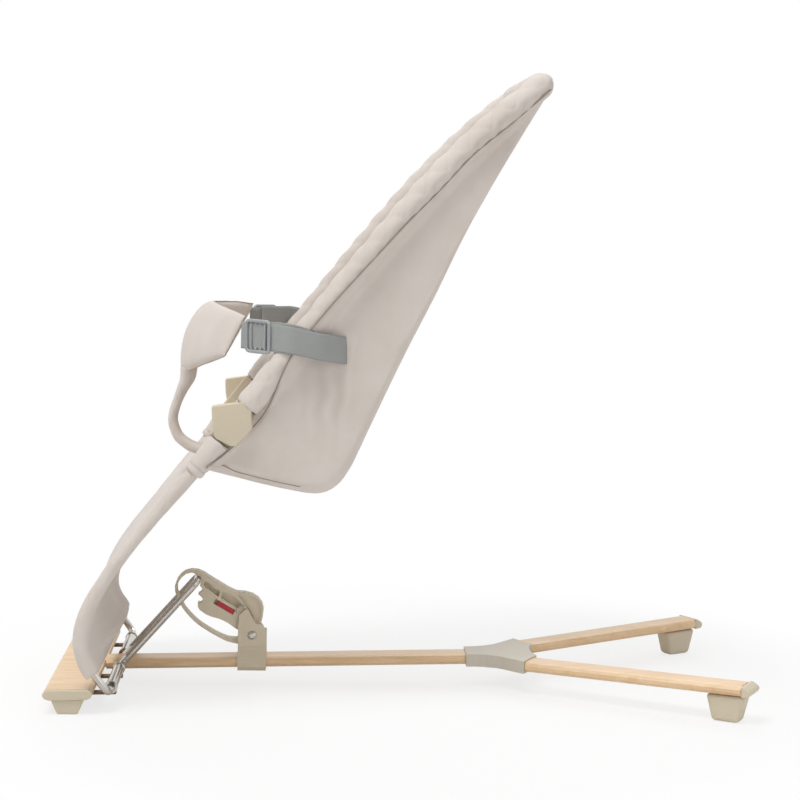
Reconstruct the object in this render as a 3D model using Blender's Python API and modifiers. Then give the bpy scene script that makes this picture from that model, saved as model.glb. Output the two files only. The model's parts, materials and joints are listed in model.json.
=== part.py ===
"""A baby bouncer: a wooden Y-shaped base, a sprung steel seat frame, a latch lever and a fabric seat.

X runs from the front board to the rear legs, Y across, Z up. The origin is on the floor under the middle.
Sizes below are in millimetres and are turned into metres where they are used.
"""
import math

import bmesh
import bpy
from mathutils import Matrix, Vector

MM = 0.001
GAP = 0.3            # space kept between touching pieces

# The wooden base lies in one plane that rises a little towards the rear
BASE_SLOPE = 0.0213
BASE_MID = 28.9      # height of the plane above the floor at X = 0
WOOD_THICK = 12.0

BOARD_X = -360.5
BOARD_WIDTH = 54.0
BOARD_THICK = 11.0
BOARD_LENGTH = 306.0
BOARD_CAP = 5.0
FRONT_FOOT_TOP = 35.0
FRONT_FOOT_BOTTOM = 22.0
FRONT_FOOT_DEPTH = 26.0

STEM_WIDTH = 36.0
TENON_WIDTH = 24.0
TENON_LENGTH = 22.0
JOINT_X = 79.0       # where the stem enters the Y joint
JOINT_WIDTH = 41.0
JOINT_THICK = 14.5
JOINT_SOCKET = 26.0

LEG_ANGLE = math.radians(30.0)
LEG_WIDTH = 33.0
LEG_START_X = 150.0
LEG_START_Y = 44.0
LEG_LENGTH = 254.0
LEG_TENON = 20.0
LEG_CAP = 11.0
REAR_FOOT_TOP = 44.0
REAR_FOOT_BOTTOM = 30.0
REAR_FOOT_DEPTH = 24.0
REAR_FOOT_BACK = 19.0     # foot's middle, before the leg's end

# The pivot of the seat frame, just behind the board
PIVOT_X = -317.0
ROD_R = 4.1
SLEEVE_R = 6.2
SLEEVE_INNER_Y = 34.0
SLEEVE_RUN = 90.0
CRANK_ROOM = 6.0         # from the stem's side to the middle of each crank arm
PLATE_THICK = 3.0

# The latch: the crank's pin sits in a rack of three notches on a hinged lever
PIN_X = -230.5
PIN_Z = 119.2
LEVER_X = -167.3
LEVER_Z = 56.2
LEVER_WIDTH = 14.0
NOTCHES = ((0.0, 0.0), (0.8, -11.6), (1.6, -23.2))     # middles, from the pin at rest
LOCK_ALONG = (110.0, -64.0)    # which way the red slide lies
LOCK_DEPTH = 5.0     # of its pocket in the lever's near face
TIP_TWO = 0.9       # how far left the two hooks between the notches reach
TIP_THREE = 0.6
EAR_THICK = 4.0
BRACKET_FRONT = -183.5
BRACKET_REAR = -151.0
BRACKET_WALL = 2.6
AXLE_R = 2.6

# The seat frame
RAIL_SPACING = 305.0
TUBE_R = 6.0
WRAP_R = 11.0
SLEEVE_CLOTH = 4.6
TOP_RADIUS = 42.0
CORNER_RADIUS = 13.0
CLAMP_AT = (-186.0, 315.0)
CLAMP_HALF = 24.0

# The cloth
CLOTH = 3.0
SHELL_CORNER = 15.0
WEBBING_WIDTH = 29.0
WEBBING_THICK = 1.6
PAD_THICK = 9.0
PAD_INSET = 20.5         # from the rail's middle line to the pad's end
PAD_TAPER = 3.96         # how much further in the pad's end lies at its bottom edge
CROTCH_WIDTH = 28.0
CROTCH_THICK = 8.0

RAIL_Y = RAIL_SPACING / 2
PAD_SPAN = 2 * (RAIL_Y - PAD_INSET)
CRANK_Y = STEM_WIDTH / 2 + CRANK_ROOM
PIVOT_Z = BASE_MID + BASE_SLOPE * PIVOT_X

PARTS = "baby_bouncer"
CUTTERS = "cutters"


def clear_scene():
    for item in list(bpy.data.objects):
        bpy.data.objects.remove(item)
    for name in (PARTS, CUTTERS):
        group = bpy.data.collections.new(name)
        bpy.context.scene.collection.children.link(group)


def finish(name, colour, roughness, metallic=0.0):
    material = bpy.data.materials.new(name)
    material.use_nodes = True
    shader = material.node_tree.nodes["Principled BSDF"]
    shader.inputs["Base Color"].default_value = (*colour, 1.0)
    shader.inputs["Roughness"].default_value = roughness
    shader.inputs["Metallic"].default_value = metallic
    return material


def add_object(name, data, material=None, parent=None):
    item = bpy.data.objects.new(name, data)
    bpy.data.collections[PARTS].objects.link(item)
    if material:
        data.materials.append(material)
    item.parent = parent
    return item


def as_cutter(item):
    for group in list(item.users_collection):
        group.objects.unlink(item)
    bpy.data.collections[CUTTERS].objects.link(item)
    item.hide_render = True
    item.display_type = "WIRE"
    return item


def cut(item, cutter):
    step = item.modifiers.new("cut", "BOOLEAN")
    step.operation = "DIFFERENCE"
    step.object = as_cutter(cutter)
    return item


def bevel(item, width, segments=2, angle=35.0):
    step = item.modifiers.new("round", "BEVEL")
    step.width = width * MM
    step.segments = segments
    step.limit_method = "ANGLE"
    step.angle_limit = math.radians(angle)
    return item


def smooth(item, angle=40.0):
    item.data.shade_smooth()
    item.data.set_sharp_from_angle(angle=math.radians(angle))
    return item


def to_mesh(item):
    """Turns a curve into a mesh object with its caps welded on."""
    bpy.context.view_layer.update()
    view = item.evaluated_get(bpy.context.evaluated_depsgraph_get())
    mesh = bpy.data.meshes.new_from_object(view)
    work = bmesh.new()
    work.from_mesh(mesh)
    bmesh.ops.remove_doubles(work, verts=work.verts, dist=1e-6)
    bmesh.ops.recalc_face_normals(work, faces=work.faces)
    work.to_mesh(mesh)
    work.free()
    name, matrix, parent, materials = item.name, item.matrix_world.copy(), item.parent, list(item.data.materials)
    bpy.data.objects.remove(item)
    solid = add_object(name, mesh, parent=parent)
    if not mesh.materials:
        for material in materials:
            mesh.materials.append(material)
    solid.matrix_world = matrix
    return solid


# Routes and outlines

def smooth_route(points, spacing):
    """Points along a smooth curve through the given ones, about one per spacing."""
    pts = [Vector(p) for p in points]
    ends = [pts[0] * 2 - pts[1]] + pts + [pts[-1] * 2 - pts[-2]]
    route = []
    for k in range(1, len(ends) - 2):
        a, b, c, d = ends[k - 1:k + 3]
        steps = max(1, round((c - b).length / spacing))
        for j in range(steps):
            t = j / steps
            route.append(0.5 * ((2 * b) + (c - a) * t + (2 * a - 5 * b + 4 * c - d) * t * t
                                + (3 * b - a - 3 * c + d) * t ** 3))
    route.append(pts[-1])
    return route


def rounded(points, radius, steps=5):
    """A path whose inner corners are rounded, each as far as its two runs allow."""
    pts = [Vector(p) for p in points]
    out = [pts[0]]
    for before, here, after in zip(pts, pts[1:], pts[2:]):
        ahead, back = (after - here), (before - here)
        cut_off = min(radius, 0.45 * ahead.length, 0.45 * back.length)
        start, end = here + back.normalized() * cut_off, here + ahead.normalized() * cut_off
        for j in range(steps + 1):
            t = j / steps
            out.append(start * (1 - t) ** 2 + here * 2 * t * (1 - t) + end * t * t)
    return out + [pts[-1]]


def arc(centre, radius, start, end, steps):
    return [(centre[0] + radius * math.cos(math.radians(start + (end - start) * j / steps)),
             centre[1] + radius * math.sin(math.radians(start + (end - start) * j / steps)))
            for j in range(steps + 1)]


# Builders

def rod(name, route, radius, material, parent=None, sides=4, caps=True):
    """A round bar along a route: bevel resolution 4 gives it twelve sides."""
    curve = bpy.data.curves.new(name, "CURVE")
    curve.dimensions = "3D"
    curve.bevel_depth = radius * MM
    curve.bevel_resolution = sides
    curve.use_fill_caps = caps
    spline = curve.splines.new("POLY")
    spline.points.add(len(route) - 1)
    for point, place in zip(spline.points, route):
        point.co = (*(Vector(place) * MM), 1.0)
    return add_object(name, curve, material, parent)


def pipe(name, route, outer, wall, material, parent=None, sides=4):
    """An open tube along a route, given its wall on the inside."""
    item = to_mesh(rod(name, route, outer, material, parent, sides, caps=False))
    step = item.modifiers.new("wall", "SOLIDIFY")
    step.thickness = wall * MM
    step.offset = -1.0
    return smooth(item)


def flat(name, outlines, depth, material, parent=None, turn=None, place=(0, 0, 0)):
    """A plate cut to one or more outlines; the first is its edge and the others are holes."""
    curve = bpy.data.curves.new(name, "CURVE")
    curve.dimensions = "2D"
    curve.fill_mode = "BOTH"
    curve.extrude = depth / 2 * MM
    for outline in outlines:
        spline = curve.splines.new("POLY")
        spline.points.add(len(outline) - 1)
        for point, (a, b) in zip(spline.points, outline):
            point.co = (a * MM, b * MM, 0.0, 1.0)
        spline.use_cyclic_u = True
    item = add_object(name, curve, material, parent)
    item.matrix_local = Matrix.Translation(Vector(place) * MM) @ (turn or Matrix())
    return to_mesh(item)


# An outline drawn in X and Z, standing up across Y
UPRIGHT = Matrix.Rotation(math.radians(90), 4, "X")
# An outline drawn in Y and Z, extruded along X
ACROSS = Matrix(((0, 0, 1, 0), (1, 0, 0, 0), (0, 1, 0, 0), (0, 0, 0, 1)))


def turned(name, profile, material, parent=None, matrix=None, steps=20):
    """A shape turned round Z from a profile of (radius, height), listed from the top down its outside."""
    mesh = bpy.data.meshes.new(name)
    mesh.from_pydata([(r * MM, 0, z * MM) for r, z in profile], [(k, k + 1) for k in range(len(profile) - 1)], [])
    item = add_object(name, mesh, material, parent)
    step = item.modifiers.new("turn", "SCREW")
    step.steps = step.render_steps = steps
    step.use_merge_vertices = True
    step.merge_threshold = 0.00001
    if matrix:
        item.matrix_world = matrix
    return smooth(item)


def box(name, size, place, material, parent=None, turn=None):
    mesh = bpy.data.meshes.new(name)
    work = bmesh.new()
    bmesh.ops.create_cube(work, size=1.0, matrix=Matrix.Diagonal((*(Vector(size) * MM), 1.0)))
    work.to_mesh(mesh)
    work.free()
    item = add_object(name, mesh, material, parent)
    item.matrix_local = Matrix.Translation(Vector(place) * MM) @ (turn or Matrix())
    return item


def drum(name, radius, length, place, material, axis="Y", sides=20, parent=None):
    """A plain cylinder about an axis, centred on a place."""
    mesh = bpy.data.meshes.new(name)
    work = bmesh.new()
    bmesh.ops.create_cone(work, cap_ends=True, segments=sides, radius1=radius * MM, radius2=radius * MM,
                          depth=length * MM)
    work.to_mesh(mesh)
    work.free()
    item = add_object(name, mesh, material, parent)
    turn = {"X": Matrix.Rotation(math.radians(90), 4, "Y"), "Y": UPRIGHT, "Z": Matrix()}[axis]
    item.matrix_local = Matrix.Translation(Vector(place) * MM) @ turn
    return item


def sheet(name, rows, thick, material, parent=None, offset=0.0):
    """A cloth sheet through a grid of points, with its thickness laid to the side that offset names."""
    mesh = bpy.data.meshes.new(name)
    across = len(rows[0])
    points = [tuple(Vector(p) * MM) for row in rows for p in row]
    faces = [(k * across + j, k * across + j + 1, (k + 1) * across + j + 1, (k + 1) * across + j)
             for k in range(len(rows) - 1) for j in range(across - 1)]
    mesh.from_pydata(points, [], faces)
    item = add_object(name, mesh, material, parent)
    step = item.modifiers.new("thickness", "SOLIDIFY")
    step.thickness = thick * MM
    step.offset = offset
    step.use_even_offset = True
    return smooth(item, 60)


def bar_section(width, thick, steps=5):
    """A flat bar with full round sides, in Y and Z."""
    half, r = width / 2, thick / 2
    return arc((half - r, 0), r, -90, 90, steps) + arc((-half + r, 0), r, 90, 270, steps)


def mid(x):
    """Height of the base's middle plane at X."""
    return BASE_MID + BASE_SLOPE * x


# Wooden base

def leg_frame(side):
    """The leg's own frame in the base plane: its X runs along the leg."""
    return (Matrix.Translation(Vector((LEG_START_X, side * LEG_START_Y, 0)) * MM)
            @ Matrix.Rotation(side * LEG_ANGLE, 4, "Z"))


def make_base(mats):
    wood, beige, steel, brown = mats["wood"], mats["beige"], mats["steel"], mats["brown"]
    plane = bpy.data.objects.new("base_plane", None)
    bpy.data.collections[PARTS].objects.link(plane)
    plane.location = (0, 0, BASE_MID * MM)
    plane.rotation_euler = (0, -math.atan(BASE_SLOPE), 0)
    bpy.context.view_layer.update()

    board_rear = BOARD_X + BOARD_WIDTH / 2
    along = ACROSS.copy()
    make_board(plane, board_rear, wood, beige)
    make_stem(plane, board_rear, along, wood)
    make_joint(plane, mats)
    for side, word in ((-1, "near"), (1, "far")):
        make_leg(plane, side, word, wood, beige)
    make_pivot(plane, board_rear, steel, brown)
    return plane


def lozenge(width, thick):
    """The board's section in X and Z: flat above and below, its long edges drawn out round."""
    half, flat_half = width / 2, width / 2 - thick * 0.62
    edge = [(flat_half, -thick / 2), (half - 2.2, -thick * 0.34), (half, 0.0), (half - 1.2, thick * 0.26),
            (flat_half + 2.0, thick / 2)]
    return edge + [(-x, z) for x, z in reversed(edge)]


def make_board(plane, board_rear, wood, beige):
    board = flat("front_board", [lozenge(BOARD_WIDTH, BOARD_THICK)], BOARD_LENGTH, wood, plane, UPRIGHT,
                 (BOARD_X, 0, 0))
    notch = box("board_notch", (TENON_LENGTH * 2, TENON_WIDTH + 2 * GAP, BOARD_THICK * 3),
                (board_rear, 0, 0), None, plane)
    cut(board, notch)
    for side, word in ((-1, "near"), (1, "far")):
        cap_y = side * (BOARD_LENGTH / 2 + GAP + BOARD_CAP / 2)
        cap = flat(f"board_cap_{word}", [lozenge(BOARD_WIDTH, BOARD_THICK)], BOARD_CAP, beige,
                   plane, UPRIGHT, (BOARD_X, cap_y, 0))
        bevel(cap, 1.2)
        make_front_foot(side, word, beige)


def make_front_foot(side, word, beige):
    """A tapered pad under the board's end, whose flat sole stands on the floor."""
    top = mid(BOARD_X) - BOARD_THICK / 2 - GAP
    slope = BASE_SLOPE * FRONT_FOOT_TOP / 2
    outline = [(-FRONT_FOOT_BOTTOM / 2, 0), (FRONT_FOOT_BOTTOM / 2, 0), (FRONT_FOOT_TOP / 2 - 1, top * 0.8),
               (FRONT_FOOT_TOP / 2, top + slope), (-FRONT_FOOT_TOP / 2, top - slope),
               (-FRONT_FOOT_TOP / 2 + 1, top * 0.8)]
    y = side * (BOARD_LENGTH / 2 - FRONT_FOOT_DEPTH / 2 + 3)
    foot = flat(f"front_foot_{word}", [outline], FRONT_FOOT_DEPTH, beige, None, UPRIGHT, (BOARD_X, y, 0))
    bevel(foot, 1.5, 2, 20)


def make_stem(plane, board_rear, along, wood):
    """A bullnosed bar with a tenon at each end: one in the board, one in the joint."""
    start = board_rear + GAP
    length = JOINT_X - GAP - start
    tenon_end = JOINT_X + JOINT_SOCKET - 3
    stem = flat("stem_beam", [bar_section(STEM_WIDTH, WOOD_THICK)], length, wood, plane, along,
                (start + length / 2, 0, 0))
    tenon_from = board_rear - TENON_LENGTH + GAP
    tongue = box("stem_tongue", (tenon_end - tenon_from, TENON_WIDTH, WOOD_THICK - 4.4),
                 ((tenon_end + tenon_from) / 2, 0, 0), None, plane)
    step = stem.modifiers.new("tongue", "BOOLEAN")
    step.operation = "UNION"
    step.object = as_cutter(tongue)


def joint_outline():
    """Half of the Y joint's outline: from the stem socket, swelling to the leg socket, then to the middle."""
    dx, dy = math.cos(LEG_ANGLE), math.sin(LEG_ANGLE)
    half = LEG_WIDTH / 2 + 1.5
    outer = (LEG_START_X - dy * half, LEG_START_Y + dx * half)
    inner = (LEG_START_X + dy * half, LEG_START_Y - dx * half)
    stem = JOINT_WIDTH / 2
    side = smooth_route([(JOINT_X, stem, 0), (JOINT_X + 14, stem + 0.8, 0), (JOINT_X + 34, stem + 9, 0),
                         (outer[0], outer[1], 0)], 9)
    web = smooth_route([(inner[0], inner[1], 0), (inner[0] - 4, inner[1] * 0.5, 0), (inner[0] - 5, 0, 0)], 9)
    return [(p.x, p.y) for p in side + web]


def make_joint(plane, mats):
    half = joint_outline()
    outline = half + [(x, -y) for x, y in reversed(half[:-1])]
    joint = flat("y_joint", [outline], JOINT_THICK, mats["grey_beige"], plane)
    bevel(joint, 3.4, 3)
    cut(joint, box("stem_socket", (2 * JOINT_SOCKET, TENON_WIDTH + 2 * GAP, WOOD_THICK - 4.4 + 2 * GAP),
                   (JOINT_X, 0, 0), None, plane))
    for side in (-1, 1):
        socket = box(f"leg_socket_{side}", (2 * LEG_TENON, LEG_WIDTH - 12 + 2 * GAP, WOOD_THICK - 4.4 + 2 * GAP),
                     (0, 0, 0), None, plane)
        socket.matrix_local = leg_frame(side)
        cut(joint, socket)
    boss_at = plane.matrix_world @ Matrix.Translation(Vector((JOINT_X + 30, 0, -JOINT_THICK / 2 - GAP)) * MM)
    turned("joint_screw_cover", [(0, 0), (13, 0), (13, -1.4), (11, -3.4), (0, -3.8)], mats["grey_beige"],
           matrix=boss_at, steps=24)


def make_leg(plane, side, word, wood, beige):
    frame = leg_frame(side)
    leg = flat(f"rear_leg_{word}", [bar_section(LEG_WIDTH, WOOD_THICK)], LEG_LENGTH - GAP, wood, plane, ACROSS)
    leg.matrix_local = frame @ Matrix.Translation(((LEG_LENGTH + GAP) / 2 * MM, 0, 0)) @ ACROSS
    tongue = box(f"leg_tongue_{word}", (LEG_TENON * 2 - 2, LEG_WIDTH - 12, WOOD_THICK - 4.4), (0, 0, 0),
                 None, plane)
    tongue.matrix_local = frame @ Matrix.Translation((1.6 * MM, 0, 0))
    step = leg.modifiers.new("tongue", "BOOLEAN")
    step.operation = "UNION"
    step.object = as_cutter(tongue)

    profile = [(0, -WOOD_THICK / 2 - 0.4), (LEG_CAP * 0.72, -WOOD_THICK / 2 + 0.2), (LEG_CAP, -1.6),
               (LEG_CAP * 0.9, 1.6), (LEG_CAP * 0.35, WOOD_THICK / 2 - 0.4), (0, WOOD_THICK / 2 + 0.4)]
    cap = flat(f"leg_cap_{word}", [profile], LEG_WIDTH + 0.8, beige, plane, UPRIGHT)
    cap.matrix_local = frame @ Matrix.Translation(((LEG_LENGTH + GAP) * MM, 0, 0)) @ UPRIGHT
    bevel(cap, 2.4, 3)
    make_rear_foot(frame, side, word, beige)


def make_rear_foot(frame, side, word, beige):
    """A deep tapered block under the leg's end: its sole is level, its top follows the leg."""
    at = frame @ Vector(((LEG_LENGTH - REAR_FOOT_BACK) * MM, 0, 0))
    top = mid(at.x / MM) - WOOD_THICK / 2 - GAP - 0.5
    mesh = bpy.data.meshes.new("foot")
    work = bmesh.new()
    bmesh.ops.create_cube(work, size=1.0)
    for vert in work.verts:
        high = vert.co.z > 0
        length = REAR_FOOT_TOP if high else REAR_FOOT_BOTTOM
        depth = REAR_FOOT_DEPTH if high else REAR_FOOT_DEPTH - 4
        rise = BASE_SLOPE * math.cos(LEG_ANGLE) * vert.co.x * length if high else 0
        vert.co = Vector((vert.co.x * length, vert.co.y * depth, (top if high else 0) + rise)) * MM
    work.to_mesh(mesh)
    work.free()
    foot = add_object(f"rear_foot_{word}", mesh, beige)
    foot.matrix_world = (Matrix.Translation((at.x, at.y, 0)) @ Matrix.Rotation(side * LEG_ANGLE, 4, "Z"))
    bevel(foot, 4.0, 4)


def make_pivot(plane, board_rear, steel, brown):
    """Two bearing tubes on the four fingers of a plate screwed under the board."""
    below = -BOARD_THICK / 2 - GAP - PLATE_THICK / 2
    sleeve_end = SLEEVE_INNER_Y + SLEEVE_RUN
    finger_end, finger = PIVOT_X + 5, 9.0
    inner, outer = SLEEVE_INNER_Y + 8, sleeve_end - 8
    half = [(board_rear - 34, 0), (board_rear - 34, outer + finger / 2), (finger_end, outer + finger / 2),
            (finger_end, outer - finger / 2), (board_rear - 4, outer - finger / 2),
            (board_rear - 4, inner + finger / 2), (finger_end, inner + finger / 2),
            (finger_end, inner - finger / 2), (board_rear - 4, inner - finger / 2), (board_rear - 4, 0)]
    outline = half[1:-1] + [(x, -y) for x, y in reversed(half[1:-1])]
    plate = flat("pivot_plate", [outline], PLATE_THICK, brown, plane, place=(0, 0, below))
    for side, word in ((-1, "near"), (1, "far")):
        ring = SLEEVE_R + 1.0
        bore = ROD_R + GAP
        profile = [(bore, 0), (ring, 0), (ring, -3), (SLEEVE_R, -3.6), (SLEEVE_R, -SLEEVE_RUN + 3.6),
                   (ring, -SLEEVE_RUN + 3), (ring, -SLEEVE_RUN), (bore, -SLEEVE_RUN), (bore, 0)]
        turn = Matrix.Rotation(math.radians(-90), 4, "X")
        start = sleeve_end if side > 0 else -SLEEVE_INNER_Y
        turned(f"bearing_sleeve_{word}", profile, steel,
               matrix=Matrix.Translation(Vector((PIVOT_X, start, PIVOT_Z)) * MM) @ turn, steps=24)
    saddle = drum("sleeve_saddle", SLEEVE_R + 1.0 + GAP, 2 * sleeve_end + 20, (PIVOT_X, 0, mid(PIVOT_X) - BASE_MID),
                  None, "Y", 32, plane)
    saddle.matrix_world = Matrix.Translation(Vector((PIVOT_X, 0, PIVOT_Z)) * MM) @ UPRIGHT
    cut(plate, saddle)
    for k, (x, y) in enumerate(((-20, -90), (-20, -20), (-20, 20), (-20, 90))):
        place = Matrix.Translation(Vector((board_rear + x, y, below - PLATE_THICK / 2 - GAP)) * MM)
        head = turned(f"plate_screw_{k + 1}", [(0, 0), (4.2, 0), (3.8, -1.2), (2.2, -2.0), (0, -2.2)], steel, plane,
                      steps=16)
        head.matrix_local = place


# Latch

def by_pin(points):
    """Points given from the pin's middle at rest, moved to their place."""
    return [(PIN_X + x, PIN_Z + z) for x, z in points]


def smooth_by_pin(points, spacing=6):
    return [(p.x, p.z) for p in smooth_route([(x, 0, z) for x, z in by_pin(points)], spacing)]


def notch_edge(centre, start, end):
    return arc((PIN_X + centre[0], PIN_Z + centre[1]), ROD_R + 0.45, start, end, 6)


def lever_outlines():
    """The lever's edge, and the window that the pin travels in, with the rack's notches on its right side."""
    hoop_out = smooth_by_pin([(7.6, 7.4), (0.4, 10.5), (-6.8, 11.1), (-14.1, 9.2), (-19.5, 5.1), (-23.4, -0.3),
                              (-25.6, -6.6), (-25.4, -13.8), (-22.0, -22.8), (-16.4, -33.6), (-8.8, -42.8),
                              (0.4, -51.7), (11.2, -58.9), (22.0, -65.2), (34.6, -71.5), (47.0, -74.3)])
    hub = arc((LEVER_X, LEVER_Z), 10.5, 250, 330, 5)
    hump = smooth_by_pin([(72.8, -51.7), (75.1, -42.6), (76.0, -34.5), (74.2, -27.3), (69.7, -21.4), (63.4, -17.1),
                          (54.4, -14.7), (45.4, -14.2), (34.6, -9.3), (25.6, -3.9), (16.6, 1.5)], 7)
    outer = hoop_out + hub + hump

    hoop_in = smooth_by_pin([(-3.4, 7.4), (-7.0, 8.2), (-13.0, 6.6), (-17.5, 2.9), (-20.9, -1.6), (-22.9, -7.0),
                             (-22.8, -13.3), (-19.5, -21.9), (-14.2, -32.2), (-7.0, -40.9), (1.9, -49.4),
                             (12.4, -56.4), (23.1, -62.6), (35.2, -67.6), (46.0, -68.6)])
    end = by_pin([(47.6, -58.0), (43.6, -56.2)])
    rack = smooth_by_pin([(36.4, -50.8), (31.0, -47.7), (23.8, -44.8), (16.6, -43.0), (9.4, -39.9), (3.0, -35.4),
                          (0.6, -31.4)])
    first, second, third = NOTCHES
    tips = (by_pin([(TIP_THREE, -27.0)]) + notch_edge(third, 285, 415) + by_pin([(TIP_TWO, -16.9)])
            + notch_edge(second, 290, 425) + by_pin([(3.2, -5.6)]) + notch_edge(first, 320, 465))
    return outer, hoop_in + end + rack + tips


def make_lever(mats):
    outer, window = lever_outlines()
    lever = flat("latch_lever", [outer, window], LEVER_WIDTH, mats["beige"], None, UPRIGHT)
    deep, shallow = 5.8, 1.5
    hollows = [
        (deep, [(7.2, -3.8), (9.8, -1.8), (14.8, -4.8), (20.2, -10.1), (26.2, -12.8), (24.4, -19.8), (7.4, -7.2)]),
        (deep, [(28.8, -13.6), (34.6, -15.6), (41.8, -19.2), (47.6, -24.4), (51.2, -30.4), (44.9, -32.4),
                (27.2, -21.0)]),
        (shallow, [(50.8, -18.9), (58.0, -18.0), (65.2, -20.6), (71.0, -26.1), (73.2, -33.6), (72.4, -42.6),
                   (70.4, -49.0), (67.6, -46.3), (63.6, -37.2), (57.9, -26.8)]),
        (shallow, [(46.7, -18.0), (52.6, -24.6), (58.0, -32.9), (62.5, -41.7), (64.9, -49.5), (66.1, -49.1),
                   (63.8, -41.2), (59.3, -32.2), (53.9, -23.9), (47.9, -17.2)]),
    ]
    for side in (-1, 1):
        for k, (depth, hollow) in enumerate(hollows):
            pocket = flat(f"lever_hollow_{k}_{side}", [by_pin(hollow)], LEVER_WIDTH, None, None, UPRIGHT,
                          (0, side * (LEVER_WIDTH - depth), 0))
            cut(lever, pocket)
    slot = flat("lock_slot", [lock_outline(GAP, 3.0)], LEVER_WIDTH, None, None, UPRIGHT,
                (0, LOCK_DEPTH - LEVER_WIDTH, 0))
    cut(lever, slot)
    cut(lever, drum("lever_bore", AXLE_R + GAP, LEVER_WIDTH * 3, (LEVER_X, 0, LEVER_Z), None, "Y", 24))
    lock = flat("lock_slide", [lock_outline(0.0, 0.0)], LOCK_DEPTH, mats["red"], None, UPRIGHT,
                (0, (LOCK_DEPTH - LEVER_WIDTH) / 2 - GAP, 0))
    bevel(lock, 0.8)


def lock_outline(grow, travel):
    """The red slide lies under the rib, and can move along it by its travel towards the pin."""
    direction = Vector(LOCK_ALONG).normalized()
    normal = Vector((-direction.y, direction.x))
    middle = Vector((PIN_X + 32.3, PIN_Z - 32.0))
    half_length, half_width = 11.2, 2.7
    corners = []
    for along, across in ((-1, -1), (1, -1), (1, 1), (-1, 1)):
        reach = half_length + grow + (travel if along < 0 else 0)
        corners.append(tuple(middle + direction * along * reach + normal * across * (half_width + grow)))
    return corners


def make_bracket(plane, mats):
    """A clamp round the stem whose two ears hold the lever's axle."""
    beige, steel = mats["beige"], mats["steel"]
    ear_in = LEVER_WIDTH / 2 + 0.8
    ear_out = ear_in + EAR_THICK
    half_stem, half_thick, wall = STEM_WIDTH / 2 + GAP, WOOD_THICK / 2 + GAP, BRACKET_WALL
    length = BRACKET_REAR - BRACKET_FRONT
    middle = (BRACKET_FRONT + BRACKET_REAR) / 2
    base = mid(middle)
    outer_half = [(half_stem + wall - 3, -half_thick - wall), (half_stem + wall, -half_thick + 2),
                  (half_stem + wall, 1), (half_stem + wall - 3, half_thick + 1), (ear_out + 1.5, half_thick + 8),
                  (ear_out, half_thick + 12)]
    ear_top = LEVER_Z + 14.5 - base
    arm_top = ear_top + 17
    outline = (outer_half + [(ear_out, arm_top), (ear_in, arm_top), (ear_in, half_thick + 10), (0, half_thick + 8)])
    outline = outline[:-1] + [(-y, z) for y, z in reversed(outline[:-1])]
    bracket = flat("latch_bracket", [outline], length, beige, None, ACROSS, (middle, 0, base))
    tunnel = flat("stem_tunnel", [bar_section(STEM_WIDTH + 2 * GAP, WOOD_THICK + 2 * GAP)], length * 2, None, plane,
                  ACROSS, (middle, 0, 0))
    cut(bracket, tunnel)
    rear, front = BRACKET_REAR - middle, BRACKET_FRONT - middle
    crown = ([(front - 4, LEVER_Z - base + 4)] + arc((LEVER_X - middle, LEVER_Z - base), 14.2, 164, 16, 10)
             + [(rear + 4, LEVER_Z - base + 4), (rear + 4, ear_top + 19), (front - 4, ear_top + 19)])
    shoulder = LEVER_Z - base + 3
    arm = [(rear + 4, shoulder), (rear - 0.2, shoulder), (rear - 1.0, shoulder + 3.4), (rear - 2.9, shoulder + 6.6),
           (rear - 6, shoulder + 9.2)]
    arm += [(rear - 12.2, ear_top - 1.2), (rear - 20.4, ear_top + 14.0),
            (rear - 22.4, ear_top + 15.6), (rear - 24.6, ear_top + 15.2), (rear - 31.4, ear_top + 8.4),
            (front + 0.6, ear_top - 2), (front - 4, ear_top - 2), (front - 4, ear_top + 19),
            (rear + 4, ear_top + 19)]
    for side, outline in ((-1, arm), (1, crown)):
        cutter = flat(f"ear_crown_{side}", [outline], 40, None, None, UPRIGHT, (middle, side * 20.2, base))
        cut(bracket, cutter)
    cut(bracket, drum("ear_bore", AXLE_R + GAP, 80, (LEVER_X, 0, LEVER_Z), None, "Y", 24))
    make_axle(ear_out, steel)


def make_axle(ear_out, steel):
    reach = ear_out + GAP
    profile = [(0, reach + 2.6), (2.6, reach + 2.4), (4.6, reach + 1.2), (5.0, reach), (AXLE_R, reach),
               (AXLE_R, -reach - 3.2), (0, -reach - 3.2)]
    turned("latch_axle", profile, steel, matrix=Matrix.Translation(Vector((LEVER_X, 0, LEVER_Z)) * MM)
           @ Matrix.Rotation(math.radians(90), 4, "X"), steps=24)
    hexagon = arc((0, 0), 5.6, 0, 300, 5)
    hole = arc((0, 0), AXLE_R + GAP, 0, 345, 23)
    flat("axle_nut", [hexagon, hole], 3.0, steel, None, UPRIGHT, (LEVER_X, reach + 1.5, LEVER_Z))


# Steel frame

def rail_plan():
    """The side rail's middle line in X and Z, from the pivot to the top corner."""
    return [(PIVOT_X, PIVOT_Z), (-330, 35), (-341, 55), (-346, 76), (-343.5, 98), (-334, 124), (-317, 152),
            (-296, 180), (-273, 209), (-249, 238), (-221, 271), CLAMP_AT, (-149, 361.5), (-103, 420.5),
            (-46, 492), (9, 558), (54, 606), (100, 649), (137, 679)]


def side_route(first, last, side, spacing=20):
    """Part of the rail between two of its plan points, at its own distance from the middle."""
    pts = [(x, 0, z) for x, z in rail_plan()]
    whole = smooth_route(pts, spacing)
    start = min(range(len(whole)), key=lambda k: (whole[k] - Vector(pts[first])).length)
    end = min(range(len(whole)), key=lambda k: (whole[k] - Vector(pts[last])).length)
    return [Vector((p.x, side * RAIL_Y, p.z)) for p in whole[start:end + 1]]


CLAMP_INDEX = 11


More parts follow.
